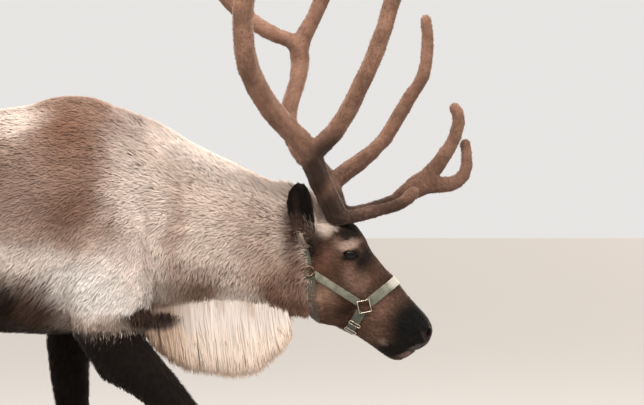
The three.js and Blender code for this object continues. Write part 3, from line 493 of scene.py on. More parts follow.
def tuft_mesh(name, roots, normal, direction, long, wide, high, uv, shade, face=0.0, inner=0.0,
              rings=SHORT, bend=None):
    """Ridged, tapered tufts: each grows from its root along its direction and bows over the skin."""
    count = len(roots)
    across = unit(np.cross(direction, normal))
    bend = np.zeros((count, 3)) if bend is None else bend
    per = len(rings) * 3 + 1
    points = np.zeros((count, per, 3))
    along = np.zeros((count, per))

    def centre(t):
        return (roots + direction * (long * t)[:, None] + bend * t * t
                + normal * (high * (1 - (1 - t) ** 2) - 0.12 * high * (1 - t))[:, None])

    for r, (t, swell_at) in enumerate(rings):
        w = (wide * swell_at)[:, None]
        for k, (beside, above) in enumerate(((1.0, 0.0), (0.0, 0.5), (-1.0, 0.0))):
            points[:, r * 3 + k] = centre(t) + across * w * beside + normal * w * above
            along[:, r * 3 + k] = t
    points[:, -1] = centre(1.0)
    along[:, -1] = 1.0
    pattern = []
    for a in range(0, per - 4, 3):
        pattern += [(a, a + 3, a + 1), (a + 1, a + 3, a + 4), (a + 1, a + 4, a + 2), (a + 2, a + 4, a + 5)]
    pattern += [(per - 4, per - 1, per - 3), (per - 3, per - 1, per - 2)]
    faces = (np.array(pattern)[None] + (np.arange(count) * per)[:, None, None]).reshape(-1, 3)
    values = {"root": np.repeat(roots, per, axis=0), "along": along.ravel()}
    for key, value in (("shade", shade), ("face", face), ("inner", inner)):
        values[key] = np.repeat(np.broadcast_to(value, count), per)
    made = mesh_of(name, points.reshape(-1, 3), faces, values)
    sideways = np.append((1 - np.arange(per - 1) % 3) / 2, 0.0)
    patch = uv[:, None] + PATCH * np.stack(np.broadcast_arrays(along - 0.5, sideways), axis=2)
    layer = made.data.uv_layers.new(name="OFBake")
    layer.data.foreach_set("uv", patch.reshape(-1, 2)[faces.ravel()].astype(np.float32).ravel())
    return made


def blended(values, corners, weights):
    return np.einsum("nk,nk...->n...", weights, values[corners])


def scattered(points, facing, faces, density, draw):
    """Random roots on quads, at a density to a square metre: places, normals, corners and weights."""
    a, b, c, d = (points[faces[:, k]] for k in range(4))
    area = 0.5 * np.linalg.norm(np.cross(c - a, d - b), axis=1)
    chosen = np.repeat(np.arange(len(faces)), draw.poisson(area * density * thin))
    s, t = draw.random(len(chosen)), draw.random(len(chosen))
    weights = np.column_stack([(1 - s) * (1 - t), s * (1 - t), s * t, (1 - s) * t])
    corners = faces[chosen]
    return blended(points, corners, weights), unit(blended(facing, corners, weights)), corners, weights


# Faces that carry tufts: none in the mouth's line, on the lids or where the body runs on under the head
LID_CLEAR = 0.0205
face_names = names[quads[:, 0]]
face_mid = co[quads].mean(axis=1)
face_bare = bare[quads].mean(axis=1)
covered = (fine[quads].mean(axis=1) > 0.5) | (face_mid[:, 0] < HEAD_X + 0.004)
covered &= mouth[quads].mean(axis=1) < 0.35
covered &= np.linalg.norm(on_left(face_mid) - eye_centre, axis=1) > LID_CLEAR

# Groups of dark hairs: column, row, half width, half height, turn, share of the tufts
FLECKS = [
    (76, 102.5, 8, 2.2, 8, 0.75), (98, 107, 22, 3.5, 14, 0.3), (136, 122, 10, 5, 30, 0.5),
    (134, 156, 4, 4, 60, 0.5), (143, 168, 4, 6, 60, 0.45), (196, 184, 4, 8, 50, 0.55),
    (206, 172, 22, 6, 35, 0.1), (252, 198, 12, 5, 40, 0.3), (262, 214, 16, 11, 45, 0.22),
    (274, 232, 9, 13, 60, 0.16), (284, 215, 4, 16, 80, 0.3), (226, 268, 8, 6, 0, 0.22),
    (120, 222, 8, 12, 60, 0.22), (216, 232, 20, 12, 0, 0.05), (233, 281, 3, 5, 80, 0.6),
]


def fleck_share(roots):
    size = SCALE * (DISTANCE - 0.13) / DISTANCE
    column = VIEW_COLUMN + (roots[:, 0] - SHIFT.x - VIEW_X) / size
    row = VIEW_ROW + (VIEW_Z + SHIFT.z - roots[:, 2]) / size
    share = np.zeros(len(roots))
    for at_column, at_row, reach_x, reach_z, turn, most in FLECKS:
        c, t = math.cos(math.radians(turn)), math.sin(math.radians(turn))
        dx, dz = column - at_column, row - at_row
        far = np.hypot((dx * c + dz * t) / reach_x, (dz * c - dx * t) / reach_z)
        share = np.maximum(share, most * smooth(1.3, 0.5, far))
    return share


PIECE_TUFTS = 32000


def coat(name, where, density, seed, slot, dark_share=0.0):
    """The tufts of one part of the skin, in pieces of a bounded size."""
    share = where & covered
    draw = np.random.default_rng(seed)
    density = (density * (1 - 0.5 * face_bare))[share]
    roots, normal, corners, weights = scattered(skin_co, normals, quads[share], density, draw)
    count = len(roots)
    direction = laid(blended(lie, corners, weights) + draw.normal(size=(count, 3)) * 0.2, normal)
    vary = draw.uniform(0.65, 1.21, count)
    long = blended(length, corners, weights) * vary
    wide = blended(width, corners, weights) * draw.uniform(0.7, 1.25, count)
    high = blended(rise, corners, weights) * draw.uniform(0.45, 1.1, count)
    shade = np.clip(0.55 + 0.18 * draw.normal(size=count), 0.14, 1)
    shade = np.where(draw.random(count) < dark_share + fleck_share(roots), 0.0, shade)
    uv = unwrapped(roots, names[corners[:, 0]])
    face, inner = blended(face_share, corners, weights), blended(ear_inner, corners, weights)
    parts = (roots, normal, direction, long, wide, high, uv, shade, face, inner)
    pieces = max(1, math.ceil(count / PIECE_TUFTS))
    order = np.argsort(roots[:, 0] + 3 * np.sign(roots[:, 1] - MIDDLE_Y))
    for number, own in enumerate(np.array_split(order, pieces)):
        label = name if pieces == 1 else f"{name}_{number + 1}"
        dress(tuft_mesh(label, *(values[own] for values in parts)), coat_hair, slot)


# Materials
class Look:
    """A new material, with short calls for its nodes."""

    def __init__(self, name):
        self.material = bpy.data.materials.new(name)
        self.material.use_nodes = True
        self.tree = self.material.node_tree

    def put(self, node, key, value):
        """Links a socket to an input, or sets the input's value."""
        if isinstance(value, bpy.types.NodeSocket):
            self.tree.links.new(value, node.inputs[key])
        else:
            node.inputs[key].default_value = value

    def add(self, kind, inputs=None, **settings):
        node = self.tree.nodes.new("ShaderNode" + kind)
        for key, value in settings.items():
            setattr(node, key, value)
        for key, value in (inputs or {}).items():
            self.put(node, key, value)
        return node

    def attribute(self, name, output="Fac"):
        return self.add("Attribute", attribute_name=name).outputs[output]

    def object_place(self):
        return self.add("TexCoord").outputs["Object"]

    def axis(self, place, number):
        return self.add("SeparateXYZ", {0: place}).outputs[number]

    def math(self, operation, a, b=0.0):
        return self.add("Math", {0: a, 1: b}, operation=operation).outputs[0]

    def times(self, first, *others):
        for other in others:
            first = self.math("MULTIPLY", first, other)
        return first

    def vector(self, operation, a, b):
        key = "Scale" if operation == "SCALE" else 1
        return self.add("VectorMath", {0: a, key: b}, operation=operation).outputs[0]

    def far(self, place):
        return self.add("VectorMath", {0: place}, operation="LENGTH").outputs["Value"]

    def mapped(self, place, turn, scale=(1, 1, 1)):
        return self.add("Mapping", {"Vector": place, "Rotation": (0, turn, 0), "Scale": scale}).outputs[0]

    def mix(self, share, a, b, blend="MIX"):
        return self.add("Mix", {0: share, 6: a, 7: b}, data_type="RGBA", blend_type=blend).outputs[2]

    def ranged(self, value, low, high, to_low=0.0, to_high=1.0, kind="SMOOTHSTEP"):
        return self.add("MapRange", {0: value, 1: low, 2: high, 3: to_low, 4: to_high},
                        interpolation_type=kind).outputs[0]

    def between(self, share, low, high):
        return self.ranged(share, 0.0, 1.0, low, high, "LINEAR")

    def grained(self, noise, low, high):
        """A value that follows the middle of a noise."""
        return self.ranged(noise, 0.3, 0.7, low, high, "LINEAR")

    def noise(self, place, scale, detail=3.0, rough=0.5, output="Fac"):
        inputs = {"Vector": place, "Scale": scale, "Detail": detail, "Roughness": rough}
        return self.add("TexNoise", inputs).outputs[output]

    def in_ellipse(self, place, column, row, reach_x, reach_z, turn, y):
        """Distance from a place of the side view, 1 on the edge of its ellipse."""
        size = SCALE * (DISTANCE + y) / DISTANCE
        x, _, z = seen(column, row, y)
        return self.far(self.add("Mapping", {
            "Vector": place, "Location": (x, 0, z), "Rotation": (0, math.radians(turn), 0),
            "Scale": (reach_x * size, 1e4, reach_z * size),
        }, vector_type="TEXTURE").outputs[0])

    def marked(self, colour, place, marks):
        """Mixes soft ellipses of the side view into a colour."""
        for column, row, reach_x, reach_z, turn, soft, shade, strength, y in marks:
            edge = self.in_ellipse(place, column, row, reach_x, reach_z, turn, y)
            share = self.ranged(edge, 1 + soft, max(0.0, 1 - soft), 0.0, strength)
            colour = self.mix(share, colour, tone(*shade))
        return colour

    def lit(self, colour, *factors):
        """A colour times the product of grey factors."""
        grey = self.times(*factors)
        factor = self.add("CombineXYZ", {0: grey, 1: grey, 2: grey}).outputs[0]
        return self.mix(1.0, colour, factor, "MULTIPLY")

    def finished(self, colour, inputs, bump=None):
        """The material with its colour, its shader's values and a bump of strength, distance and height."""
        shader = self.tree.nodes["Principled BSDF"]
        for key, value in {"Base Color": colour, **inputs}.items():
            self.put(shader, key, value)
        if bump:
            raised = self.add("Bump", dict(zip(("Strength", "Distance", "Height"), bump)))
            self.put(shader, "Normal", raised.outputs[0])
        return self.material


# Markings: column, row, half width, half height, turn, softness, colour, strength, depth
BODY_MARKS = [
    (-190, 170, 215, 95, 0, 0.35, (158, 133, 116), 0.8, -0.2),
    (-120, 258, 190, 22, 0, 0.7, (196, 180, 168), 0.85, -0.2),
    (-130, 322, 190, 40, 0, 0.35, (36, 27, 22), 1.0, -0.1),
    (-322, 200, 26, 52, 0, 0.5, (236, 226, 216), 1.0, -0.05),
    (200, 225, 92, 92, 0, 0.6, (204, 186, 173), 0.9, -0.13),
    (74, 172, 46, 74, -12, 0.9, (136, 106, 90), 0.9, -0.2),
    (66, 126, 30, 30, -20, 1.0, (112, 76, 58), 0.85, -0.18),
    (92, 106, 50, 14, 12, 1.0, (140, 108, 90), 0.75, -0.1),
    (64, 214, 36, 24, -20, 0.9, (104, 76, 61), 0.85, -0.22),
    (8, 186, 36, 60, 0, 0.9, (124, 99, 87), 0.75, -0.22),
    (16, 118, 25, 18, -5, 0.7, (214, 198, 186), 0.8, -0.08),
    (128, 129, 28, 20, -25, 1.0, (118, 89, 73), 0.95, -0.1),
    (137, 208, 24, 80, -8, 1.0, (214, 198, 187), 0.8, -0.18),
    (116, 242, 14, 22, -15, 0.9, (122, 95, 80), 0.75, -0.2),
    (177, 228, 9, 46, 4, 0.9, (168, 142, 127), 0.7, -0.14),
    (150, 236, 4, 42, 6, 0.9, (184, 162, 149), 0.6, -0.14),
    (222, 166, 84, 17, 30, 0.7, (232, 219, 209), 0.65, -0.02),
    (206, 282, 38, 15, 8, 0.9, (150, 124, 109), 0.8, -0.12),
    (199, 293, 26, 11, 4, 0.9, (124, 98, 83), 0.85, -0.12),
    (272, 272, 26, 20, 0, 0.8, (170, 141, 123), 0.85, -0.09),
    (274, 295, 24, 20, 0, 0.6, (112, 82, 67), 0.95, -0.09),
    (301, 300, 14, 26, 0, 0.7, (112, 82, 67), 0.95, -0.08),
    (299, 268, 12, 22, 0, 0.8, (128, 98, 83), 0.9, -0.08),
    (238, 300, 20, 13, 0, 0.9, (222, 209, 199), 0.9, -0.1),
    (294, 235, 9, 15, -8, 0.8, (84, 62, 52), 0.92, -0.09),
    (162, 302, 18, 7, 0, 0.9, (150, 128, 115), 0.8, -0.14),
    (254, 240, 24, 24, 20, 0.8, (176, 152, 138), 0.7, -0.1),
    (258, 206, 26, 24, 20, 0.8, (186, 165, 151), 0.7, -0.1),
    (231, 278, 12, 16, 0, 0.9, (206, 188, 176), 0.6, -0.12),
    (30, 262, 66, 15, 6, 0.7, (206, 192, 182), 0.9, -0.22),
    (94, 290, 56, 27, 14, 0.6, (216, 208, 201), 1.0, -0.2),
    (130, 262, 26, 22, 30, 0.8, (216, 200, 190), 0.7, -0.2),
    (116, 325, 40, 8, 0, 0.8, (152, 131, 118), 0.85, -0.2),
    # painted shadow: the dark patch where the neck meets the chest, above the mane
    (148, 317, 24, 9, -3, 0.5, (38, 26, 20), 1.0, -0.16),
    (30, 306, 24, 28, 0, 0.5, (66, 47, 37), 0.95, -0.2),
    (6, 300, 16, 24, 0, 0.5, (34, 24, 19), 0.95, -0.2),
]
HEAD_MARKS = [
    # pale pinkish fur behind the cheek strap, partly a painted soft highlight
    (326, 297, 12, 10, -35, 0.9, (176, 140, 118), 0.8, -0.07),
    (357, 281, 9, 14, -30, 0.9, (158, 124, 107), 0.7, -0.06),
    (320, 262, 13, 16, 0, 0.9, (98, 66, 53), 0.8, -0.07),
    (330, 314, 12, 9, -20, 0.9, (118, 88, 72), 0.6, -0.07),
    # painted shade below the cheek strap, near the square
    (348, 312, 12, 6, -15, 0.9, (40, 27, 21), 0.85, -0.06),
    (392, 288, 34, 10, -39, 0.8, (70, 50, 41), 0.8, -0.03),
    (384, 310, 16, 15, -39, 0.9, (132, 100, 84), 0.65, -0.05),
    (374, 334, 18, 10, -30, 0.9, (104, 78, 66), 0.6, -0.05),
    (352, 231, 20, 11, -30, 0.7, (32, 24, 20), 1.0, -0.03),
    (370, 255, 8, 24, 28, 0.8, (34, 26, 21), 0.9, -0.05),
    (340, 243, 6, 5, 0, 0.9, (130, 104, 90), 0.7, -0.05),
    (349.5, 245, 10, 4.6, -12, 0.6, (172, 146, 131), 0.92, -0.05),
    (333, 252, 8, 8, 0, 0.9, (122, 92, 77), 0.4, -0.05),
    (361, 262, 5, 6, 30, 0.8, (28, 21, 18), 0.9, -0.05),
    (414, 325, 28, 27, -39, 0.6, (13, 12, 11), 1.0, -0.03),
    (420, 334, 20, 16, -39, 0.4, (10, 10, 9), 1.0, -0.03),
    (394, 349, 26, 10, -20, 0.6, (18, 15, 13), 1.0, -0.03),
    (383.5, 341.5, 4, 3, 0, 1.0, (140, 120, 110), 0.55, -0.04),
    (406, 354, 7, 2.4, -14, 0.8, (136, 112, 107), 0.85, -0.03),
    (417, 346.5, 7, 2, -22, 0.8, (88, 82, 78), 0.8, -0.03),
    (428, 343.5, 4, 3, -35, 0.7, (112, 74, 62), 0.8, -0.03),
    (423.5, 336.5, 1.4, 5, -24, 0.8, (58, 57, 54), 0.7, -0.03),
    (428, 335, 4.2, 5.2, -20, 0.5, (40, 22, 25), 1.0, -0.03),
    (351, 255.6, 9.5, 5.6, -14, 0.45, (12, 9, 8), 1.0, -0.06),
    # pale fur between the ear and the antler, made paler as painted light against the antler's shadow
    (323, 220, 13, 14, 20, 0.6, (232, 212, 196), 0.95, -0.05),
    (312, 248, 10, 14, 10, 0.8, (50, 36, 29), 0.9, -0.06),
]
EAR_MARKS = [
    (295, 206, 4, 14, -6, 0.9, (42, 30, 25), 0.75, -0.1),
    (297, 223, 5, 8, 0, 0.9, (80, 60, 52), 0.7, -0.1),
]
# The mane's one mark is a painted shadow: dark at its top where the neck meets the chest
MANE_SHADOW_MARKS = [(159, 317, 23, 9, -3, 0.4, (50, 36, 30), 0.95, -0.06)]
VELVET_MARKS = [
    (316, 174, 44, 15, -62, 0.45, (40, 27, 19), 0.93, -0.07),
    (336, 207, 24, 15, -30, 0.5, (44, 31, 23), 0.9, -0.07),
    (388, 204, 44, 9, 17, 0.6, (56, 37, 28), 0.85, -0.07),
]


def coat_material(name, rough, is_skin):
    made = Look(name)
    root = made.attribute("root", "Vector")
    face, inner, along, shade = (made.attribute(key) for key in ("face", "inner", "along", "shade"))
    waver = made.vector("SUBTRACT", made.noise(root, 14.0, 5.0, 0.65, "Color"), (0.5, 0.5, 0.5))
    drift = made.vector("SCALE", waver, made.between(face, 0.085, 0.028))
    place = made.vector("ADD", root, drift)
    z = made.axis(place, 2)

    # Trunk and neck, then the dark legs and the pale socks
    colour = made.marked(tone(198, 178, 163), place, BODY_MARKS)
    grizzled = made.times(made.math("SUBTRACT", shade, 0.5), 0.04)
    colour = made.mix(made.ranged(made.math("ADD", z, grizzled), 0.580, 0.534), colour, tone(20, 14, 11))
    socks = made.times(made.ranged(z, 0.115, 0.085), made.ranged(z, 0.05, 0.062), 0.75)
    colour = made.mix(socks, colour, tone(172, 155, 138))

    # Head and ears
    head = made.marked(tone(82, 59, 48), place, HEAD_MARKS)
    outside = made.mix(made.ranged(z, 0.81, 0.87), tone(92, 71, 60), tone(30, 23, 19))
    head = made.mix(made.times(made.ranged(z, 0.79, 0.83), 0.9), head, outside)
    inside = made.mix(made.ranged(z, 0.765, 0.815), tone(96, 74, 63), tone(13, 10, 9))
    head = made.mix(inner, head, made.marked(inside, place, EAR_MARKS))
    colour = made.mix(face, colour, head)

    # Streaks along the hair, finer on the face
    streaks = [
        made.noise(made.mapped(root, math.radians(-turn), (long_way, across, across)), 1.0)
        for turn, long_way, across in ((20, 26.0, 120.0), (39, 60.0, 330.0))
    ]
    streak = made.add("Mix", {0: face, 2: streaks[0], 3: streaks[1]}).outputs[0]
    darkest = made.between(face, 0.90, 0.74)
    lightest = made.between(face, 1.08, 1.22)
    between = made.times(made.ranged(streak, 0.34, 0.66), made.math("SUBTRACT", lightest, darkest))
    # Each tuft darkens towards its root: partly a darker undercoat, partly painted shade between the tufts;
    # the skin, at 0.4 along, takes some of this painted shade
    colour = made.lit(
        colour, made.between(along, 0.86, 1.07), made.between(shade, 0.86, 1.13),
        made.grained(made.noise(root, 30.0, 4.0), 0.89, 1.1),
        made.grained(made.noise(root, 260.0, 2.0), 0.92, 1.07), made.math("ADD", darkest, between))
    # Shade 0 gives a dark tone: real groups of dark hairs, and painted shade in the mouth's groove and at
    # the chest
    fleck_and_shade = made.mix(face, tone(84, 61, 49), tone(26, 20, 18))
    colour = made.mix(made.ranged(shade, 0.1, 0.0, 0.0, 0.7), colour, fleck_and_shade)
    return made.finished(colour, {
        "Roughness": rough, "Specular IOR Level": 0.07, "Sheen Weight": 0.06, "Sheen Roughness": 0.5,
        "Sheen Tint": (1.0, 0.88, 0.8, 1.0),
    }, (0.5, 0.0016, made.noise(place, 420.0, 4.0, 0.6)) if is_skin else None)


coat_hair = coat_material("coat_hair", 0.8, False)
dress(skin, coat_material("coat_skin", 0.7, True), "coat_body", *FLESH)

REAR_X, FLANK_Z = -0.42, 0.8
is_torso = face_names == "torso"
rear = face_mid[:, 0] < SHIFT.x + REAR_X
below = face_mid[:, 2] < FLANK_Z
coat("coat_rear", is_torso & rear, 43000.0, 101, "coat_body")
coat("coat_back", is_torso & ~rear & ~below, 76000.0, 102, "coat_body")
coat("coat_flank", is_torso & ~rear & below, 72000.0, 103, "coat_body")
coat("coat_neck", face_names == "neck", 90000.0, 104, "coat_body", dark_share=0.012)
coat("coat_head", face_names == "head", 160000.0, 105, "coat_head")
coat("coat_ears", np.char.startswith(face_names, "ear"), 110000.0, 106, "coat_head")
coat("coat_legs", np.isin(face_names, LEG_HALVES), 32000.0, 107, "coat_legs")
coat("coat_under_mane", np.isin(face_names, ["throat_mane", "tail"]), 14000.0, 108, "coat_white")


# Throat mane: strands that hang from the neck's underside and draw together into locks
def mane_material():
    made = Look("mane_hair")
    root = made.attribute("root", "Vector")
    along, shade = made.attribute("along"), made.attribute("shade")
    # The strands grow lighter and warmer towards their tips as a painted backlight; towards the mane's rear
    # end, by the forelegs, they turn tan as painted shade
    white = made.mix(made.ranged(along, 0.4, 1.0), tone(213, 201, 191), tone(236, 215, 197))
    tan = made.mix(made.ranged(along, 0.35, 0.9), tone(152, 126, 108), tone(212, 181, 156))
    colour = made.mix(made.ranged(made.axis(root, 0), SHIFT.x + 0.20, SHIFT.x + 0.30), tan, white)
    wisps = made.ranged(made.noise(root, 30.0, 2.0), 0.42, 0.62, 0.0, 0.8)
    colour = made.mix(made.times(wisps, made.ranged(along, 0.5, 0.1)), colour, tone(176, 152, 138))
    place = made.object_place()
    drift = made.vector("SCALE", made.noise(place, 40.0, output="Color"), 0.02)
    # painted shadow at the top of the mane by the chest
    colour = made.marked(colour, made.vector("ADD", place, drift), MANE_SHADOW_MARKS)
    colour = made.lit(colour, made.between(shade, 0.89, 1.07),
                      made.grained(made.noise(root, 90.0, 2.0), 0.92, 1.05))
    return made.finished(colour, {
        "Roughness": 0.6, "Specular IOR Level": 0.3, "Sheen Weight": 0.25, "Sheen Roughness": 0.4})


MANE_STRANDS, LOCKS = 17000, 150


def mane():
    draw = np.random.default_rng(201)
    count = int(MANE_STRANDS * thin)
    x = draw.uniform(0.128, 0.497, count)
    neck_z = np.interp(x, [0.1, 0.192, 0.384, 0.456, 0.504], [0.605, 0.592, 0.592, 0.588, 0.578])
    turn = draw.uniform(-1.45, 1.45, count)
    y = 0.063 * (1 - 0.45 * ((x - 0.315) / 0.19) ** 4) * np.sin(turn)
    sunk = np.interp(x, [0.2, 0.29, 0.36, 0.42, 0.5], [0.014, 0.004, 0.002, 0.016, 0.016])
    z = neck_z + 0.004 - sunk + 0.018 * (1 - np.cos(turn)) + 0.026 * draw.random(count) ** 2
    tips_z = np.interp(
        x, [0.12, 0.16, 0.18, 0.216, 0.25, 0.3, 0.36, 0.411, 0.44, 0.475, 0.495, 0.51],
        [0.56, 0.505, 0.478, 0.448, 0.432, 0.424, 0.415, 0.426, 0.452, 0.484, 0.512, 0.55])
    share = 1 - 0.45 * draw.random(count) ** 1.6
    drop = (z - tips_z - 0.4 * np.abs(y)) * share

    # The first draw's values aren't used: it keeps the draws after it in their places
    draw.integers(0, LOCKS, count)
    lock_x = draw.uniform(0.14, 0.495, LOCKS)
    lock_y = draw.uniform(-0.055, 0.055, LOCKS)
    lock = ((x[:, None] - lock_x) ** 2 + ((y[:, None] - lock_y) / 1.2) ** 2).argmin(axis=1)
    normal = unit(vectors(0.0, np.sin(turn), -0.35))
    direction = unit(vectors(0.03 + 0.02 * draw.normal(size=count), -0.10 * np.sin(turn), -1.0))
    pull = 0.5 * share
    bend = vectors((lock_x[lock] - x) * pull + 0.010 + 0.004 * draw.normal(size=count),
                   (lock_y[lock] - y) * pull * 0.6, 0.0)
    wide = draw.uniform(0.0015, 0.0029, count)
    high = draw.uniform(0.2, 1.0, count) * 0.012 * (np.abs(np.sin(turn)) + 0.25)
    shade = np.clip(0.55 + 0.2 * draw.normal(size=count), 0, 1)
    uv = np.column_stack([0.825 + 0.16 * (x - 0.128) / 0.369, 0.006 + 0.28 * (turn + 1.45) / 2.9])
    made = tuft_mesh("mane", vectors(x, y, z) + SHIFTED, normal, direction, drop, wide, high, uv, shade,
                     rings=LONG, bend=bend)
    dress(made, mane_material(), "coat_white", "throat_mane")


mane()


# Tail: long hair over its short core
TAIL_STRANDS = 2600


def tail():
    draw = np.random.default_rng(202)
    count = int(TAIL_STRANDS * thin)
    t = draw.random(count)
    x = np.interp(t, [0, 0.5, 1], [-0.93, -0.962, -0.983])
    z = np.interp(t, [0, 0.5, 1], [0.965, 0.925, 0.875])
    turn = draw.uniform(-1.9, 1.9, count)
    y = 0.024 * np.sin(turn)
    roots = vectors(x - 0.008 * np.cos(turn), y, z) + SHIFTED
    normal = unit(vectors(-np.cos(turn), np.sin(turn), 0.1))
    direction = unit(vectors(-0.10, 0.1 * draw.normal(size=count), -1.0))
    long = draw.uniform(0.045, 0.085, count) * (1 - 0.2 * t)
    wide = draw.uniform(0.0012, 0.002, count)
    high = draw.uniform(0.2, 0.9, count) * 0.008
    shade = np.clip(0.6 + 0.2 * draw.normal(size=count), 0, 1)
    uv = np.column_stack([0.825 + 0.09 * t, 0.315 + 0.09 * (turn + 1.9) / 3.8])
    made = tuft_mesh("tail_hair", roots, normal, direction, long, wide, high, uv, shade,
                     rings=LONG, bend=vectors(0.006, -y * 0.5, 0.0))
    dress(made, coat_hair, "coat_white", "tail")


tail()


# Antlers: each in one piece, smooth and a little uneven, under a short velvet pile
def velvet_material(name, is_pile):
    made = Look(name)
    root = made.attribute("root", "Vector")
    along, shade = made.attribute("along"), made.attribute("shade")
    z = made.axis(root, 2)
    grain = made.noise(root, 330.0)
    broad = made.ranged(made.noise(root, 22.0, 4.0), 0.35, 0.65)
    colour = made.mix(broad, tone(106, 77, 62), tone(134, 100, 82))
    colour = made.mix(made.ranged(z, 1.05, 0.86, 0.0, 0.6), colour, tone(76, 53, 42))
    colour = made.mix(made.ranged(z, 0.86, 0.80), colour, tone(52, 37, 30))
    mottle = made.noise(root, 120.0, 3.0, 0.6)
    colour = made.mix(made.ranged(mottle, 0.42, 0.72, 0.0, 0.22), colour, tone(158, 122, 104))
    if is_pile:
        colour = made.mix(made.ranged(along, 0.3, 1.0, 0.0, 0.5), colour, tone(164, 128, 108))
    colour = made.marked(colour, root, VELVET_MARKS)
    colour = made.lit(colour, made.between(shade, 0.75, 1.2), made.grained(grain, 0.86, 1.1))
    return made.finished(colour, {
        "Roughness": 0.85, "Specular IOR Level": 0.2, "Sheen Weight": 0.3, "Sheen Roughness": 0.45,
        "Sheen Tint": (1.0, 0.78, 0.66, 1.0),
    }, None if is_pile else (0.6, 0.0012, grain))


velvet_skin = velvet_material("velvet_skin", False)
velvet_pile = velvet_material("velvet_pile", True)
ANTLER_VOXEL = 0.0042
PILE_DENSITY = 44000


def antler(word, tile_row, tile_height):
    own = [name for name in nodes if name.startswith(f"antler_{word}_")]
    points, faces = smoothed(welded(own, 0.0004), ANTLER_VOXEL, 6)
    facing = normals_of(points, faces)
    uneven = 0.0006 * lumps(points, 0.03, 31) + 0.0008 * lumps(points, 0.07, 32) + 0.0002
    points += facing * uneven[:, None]
    values = {"root": points, "along": np.zeros(len(points)), "shade": np.full(len(points), 0.5)}
    dress(mesh_of(f"antler_{word}", points, faces, values), velvet_skin, "velvet", *own)

    draw = np.random.default_rng(40 + len(word))
    roots, normal, _, _ = scattered(points, facing, faces, PILE_DENSITY, draw)
    count = len(roots)
    direction = laid(draw.normal(size=(count, 3)) * 0.5 + np.array([0.1, 0, 0.9]), normal)
    long = draw.uniform(0.0018, 0.0034, count)
    wide = draw.uniform(0.0004, 0.0008, count)
    high = draw.uniform(0.0012, 0.0026, count)
    shade = np.clip(0.5 + 0.2 * draw.normal(size=count), 0, 1)
    tree, owner = node_tree(own)
    labels = owner[[tree.find_nearest(Vector(point))[2] for point in roots]]
    tiles = {name: (0.5 + 0.08 * k, tile_row, 0.075, tile_height) for k, name in enumerate(own)}
    uv = unwrapped(roots, labels, tiles, {})
    pile = tuft_mesh(f"velvet_{word}", roots, normal, direction, long, wide, high, uv, shade)
    dress(pile, velvet_pile, "velvet")


antler("left", 0.74, 0.22)
antler("right", 0.66, 0.075)


# Hooves and dewclaws: dark horn with fine rings
def horn_material():
    made = Look("horn")
    place = made.object_place()
    cloud = made.noise(place, 40.0, 4.0)
    rings = made.add("TexWave", {"Vector": place, "Scale": 55.0, "Distortion": 2.5, "Detail": 2.0},
                     bands_direction="Z").outputs["Fac"]
    colour = made.mix(made.ranged(cloud, 0.35, 0.7), tone(38, 32, 29), tone(74, 63, 54))
    colour = made.mix(made.ranged(made.axis(place, 2), 0.012, 0.0, 0.0, 0.7), colour, tone(104, 92, 80))
    return made.finished(colour, {"Roughness": made.grained(cloud, 0.35, 0.6)}, (0.5, 0.0008, rings))


HOOF_VOXEL = 0.0035
horn = horn_material()
for leg in LEGS:
    own = [name for name in nodes if name.startswith(("hoof_" + leg, "dewclaw_" + leg))]
    solid(f"hooves_{leg}", own, 0.0, HOOF_VOXEL, 4, horn, "hoof_horn")


# Eyes: a ball each, a little fuller in front, with a wet coat
def eye_material():
    made = Look("eye")
    place = made.object_place()
    pupil = made.far(made.mapped(place, 0.5, (1 / 0.0075, 0, 1 / 0.0045)))
    iris = made.far(made.mapped(place, 0.0, (1 / 0.0125, 0, 1 / 0.0125)))
    brown = made.mix(made.noise(place, 700.0), tone(14, 9, 7), tone(28, 18, 13))
    colour = made.mix(made.ranged(iris, 1.1, 0.9), tone(16, 12, 11), brown)
    colour = made.mix(made.ranged(pupil, 1.1, 0.9), colour, tone(4, 3, 4))
    return made.finished(colour, {
        "Roughness": 0.3, "Specular IOR Level": 0.0, "Coat Weight": 0.5, "Coat Roughness": 0.02})


eye_look = eye_material()
for word, sign in (("left", 1), ("right", -1)):
    low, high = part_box(f"eye_{word}")
    ball = bmesh.new()
    bmesh.ops.create_uvsphere(ball, u_segments=64, v_segments=40, radius=(high.x - low.x) / 2 - 0.0002)
    for v in ball.verts:
        v.co *= 1 + 0.035 * max(0.0, (v.co.y * sign / 0.018 - 0.75) / 0.25)
    mesh = bpy.data.meshes.new(f"eyeball_{word}")
    ball.to_mesh(mesh)
    ball.free()
    mesh.polygons.foreach_set("use_smooth", np.ones(len(mesh.polygons), bool))
    eyeball = object_of(f"eyeball_{word}", mesh)
    eyeball.location = (low + high) / 2
    dress(eyeball, eye_look, "eye", f"eye_{word}")


# Long pale hair in the mouth of the ears
EAR_HAIR_DENSITY = 40000.0


def ear_hair():
    z = face_mid[:, 2]
    in_ear = (ear_inner[quads].mean(axis=1) > 0.5) & (z > 0.745) & (z < 0.83)
    draw = np.random.default_rng(71)
    density = EAR_HAIR_DENSITY * smooth(0.83, 0.765, z[in_ear])
    roots, normal, corners, _ = scattered(skin_co, normals, quads[in_ear], density, draw)
    count = len(roots)
    outward = 0.45 * np.sign(roots[:, 1] - MIDDLE_Y)
    direction = unit(vectors(-0.35, outward, 1.0) + draw.normal(size=(count, 3)) * 0.2)
    long = draw.uniform(0.006, 0.024, count)
    wide = draw.uniform(0.00035, 0.0006, count)
    shade = draw.uniform(0.15, 0.8, count)
    uv = unwrapped(roots, names[corners[:, 0]])
    dress(tuft_mesh("ear_hair", roots, normal, direction, long, wide, long * 0.25, uv, shade, 0.78, 0.2),
          coat_hair, "coat_head")


ear_hair()

skin_tree = BVHTree.FromPolygons([Vector(p) for p in skin_co], [tuple(q) for q in quads])


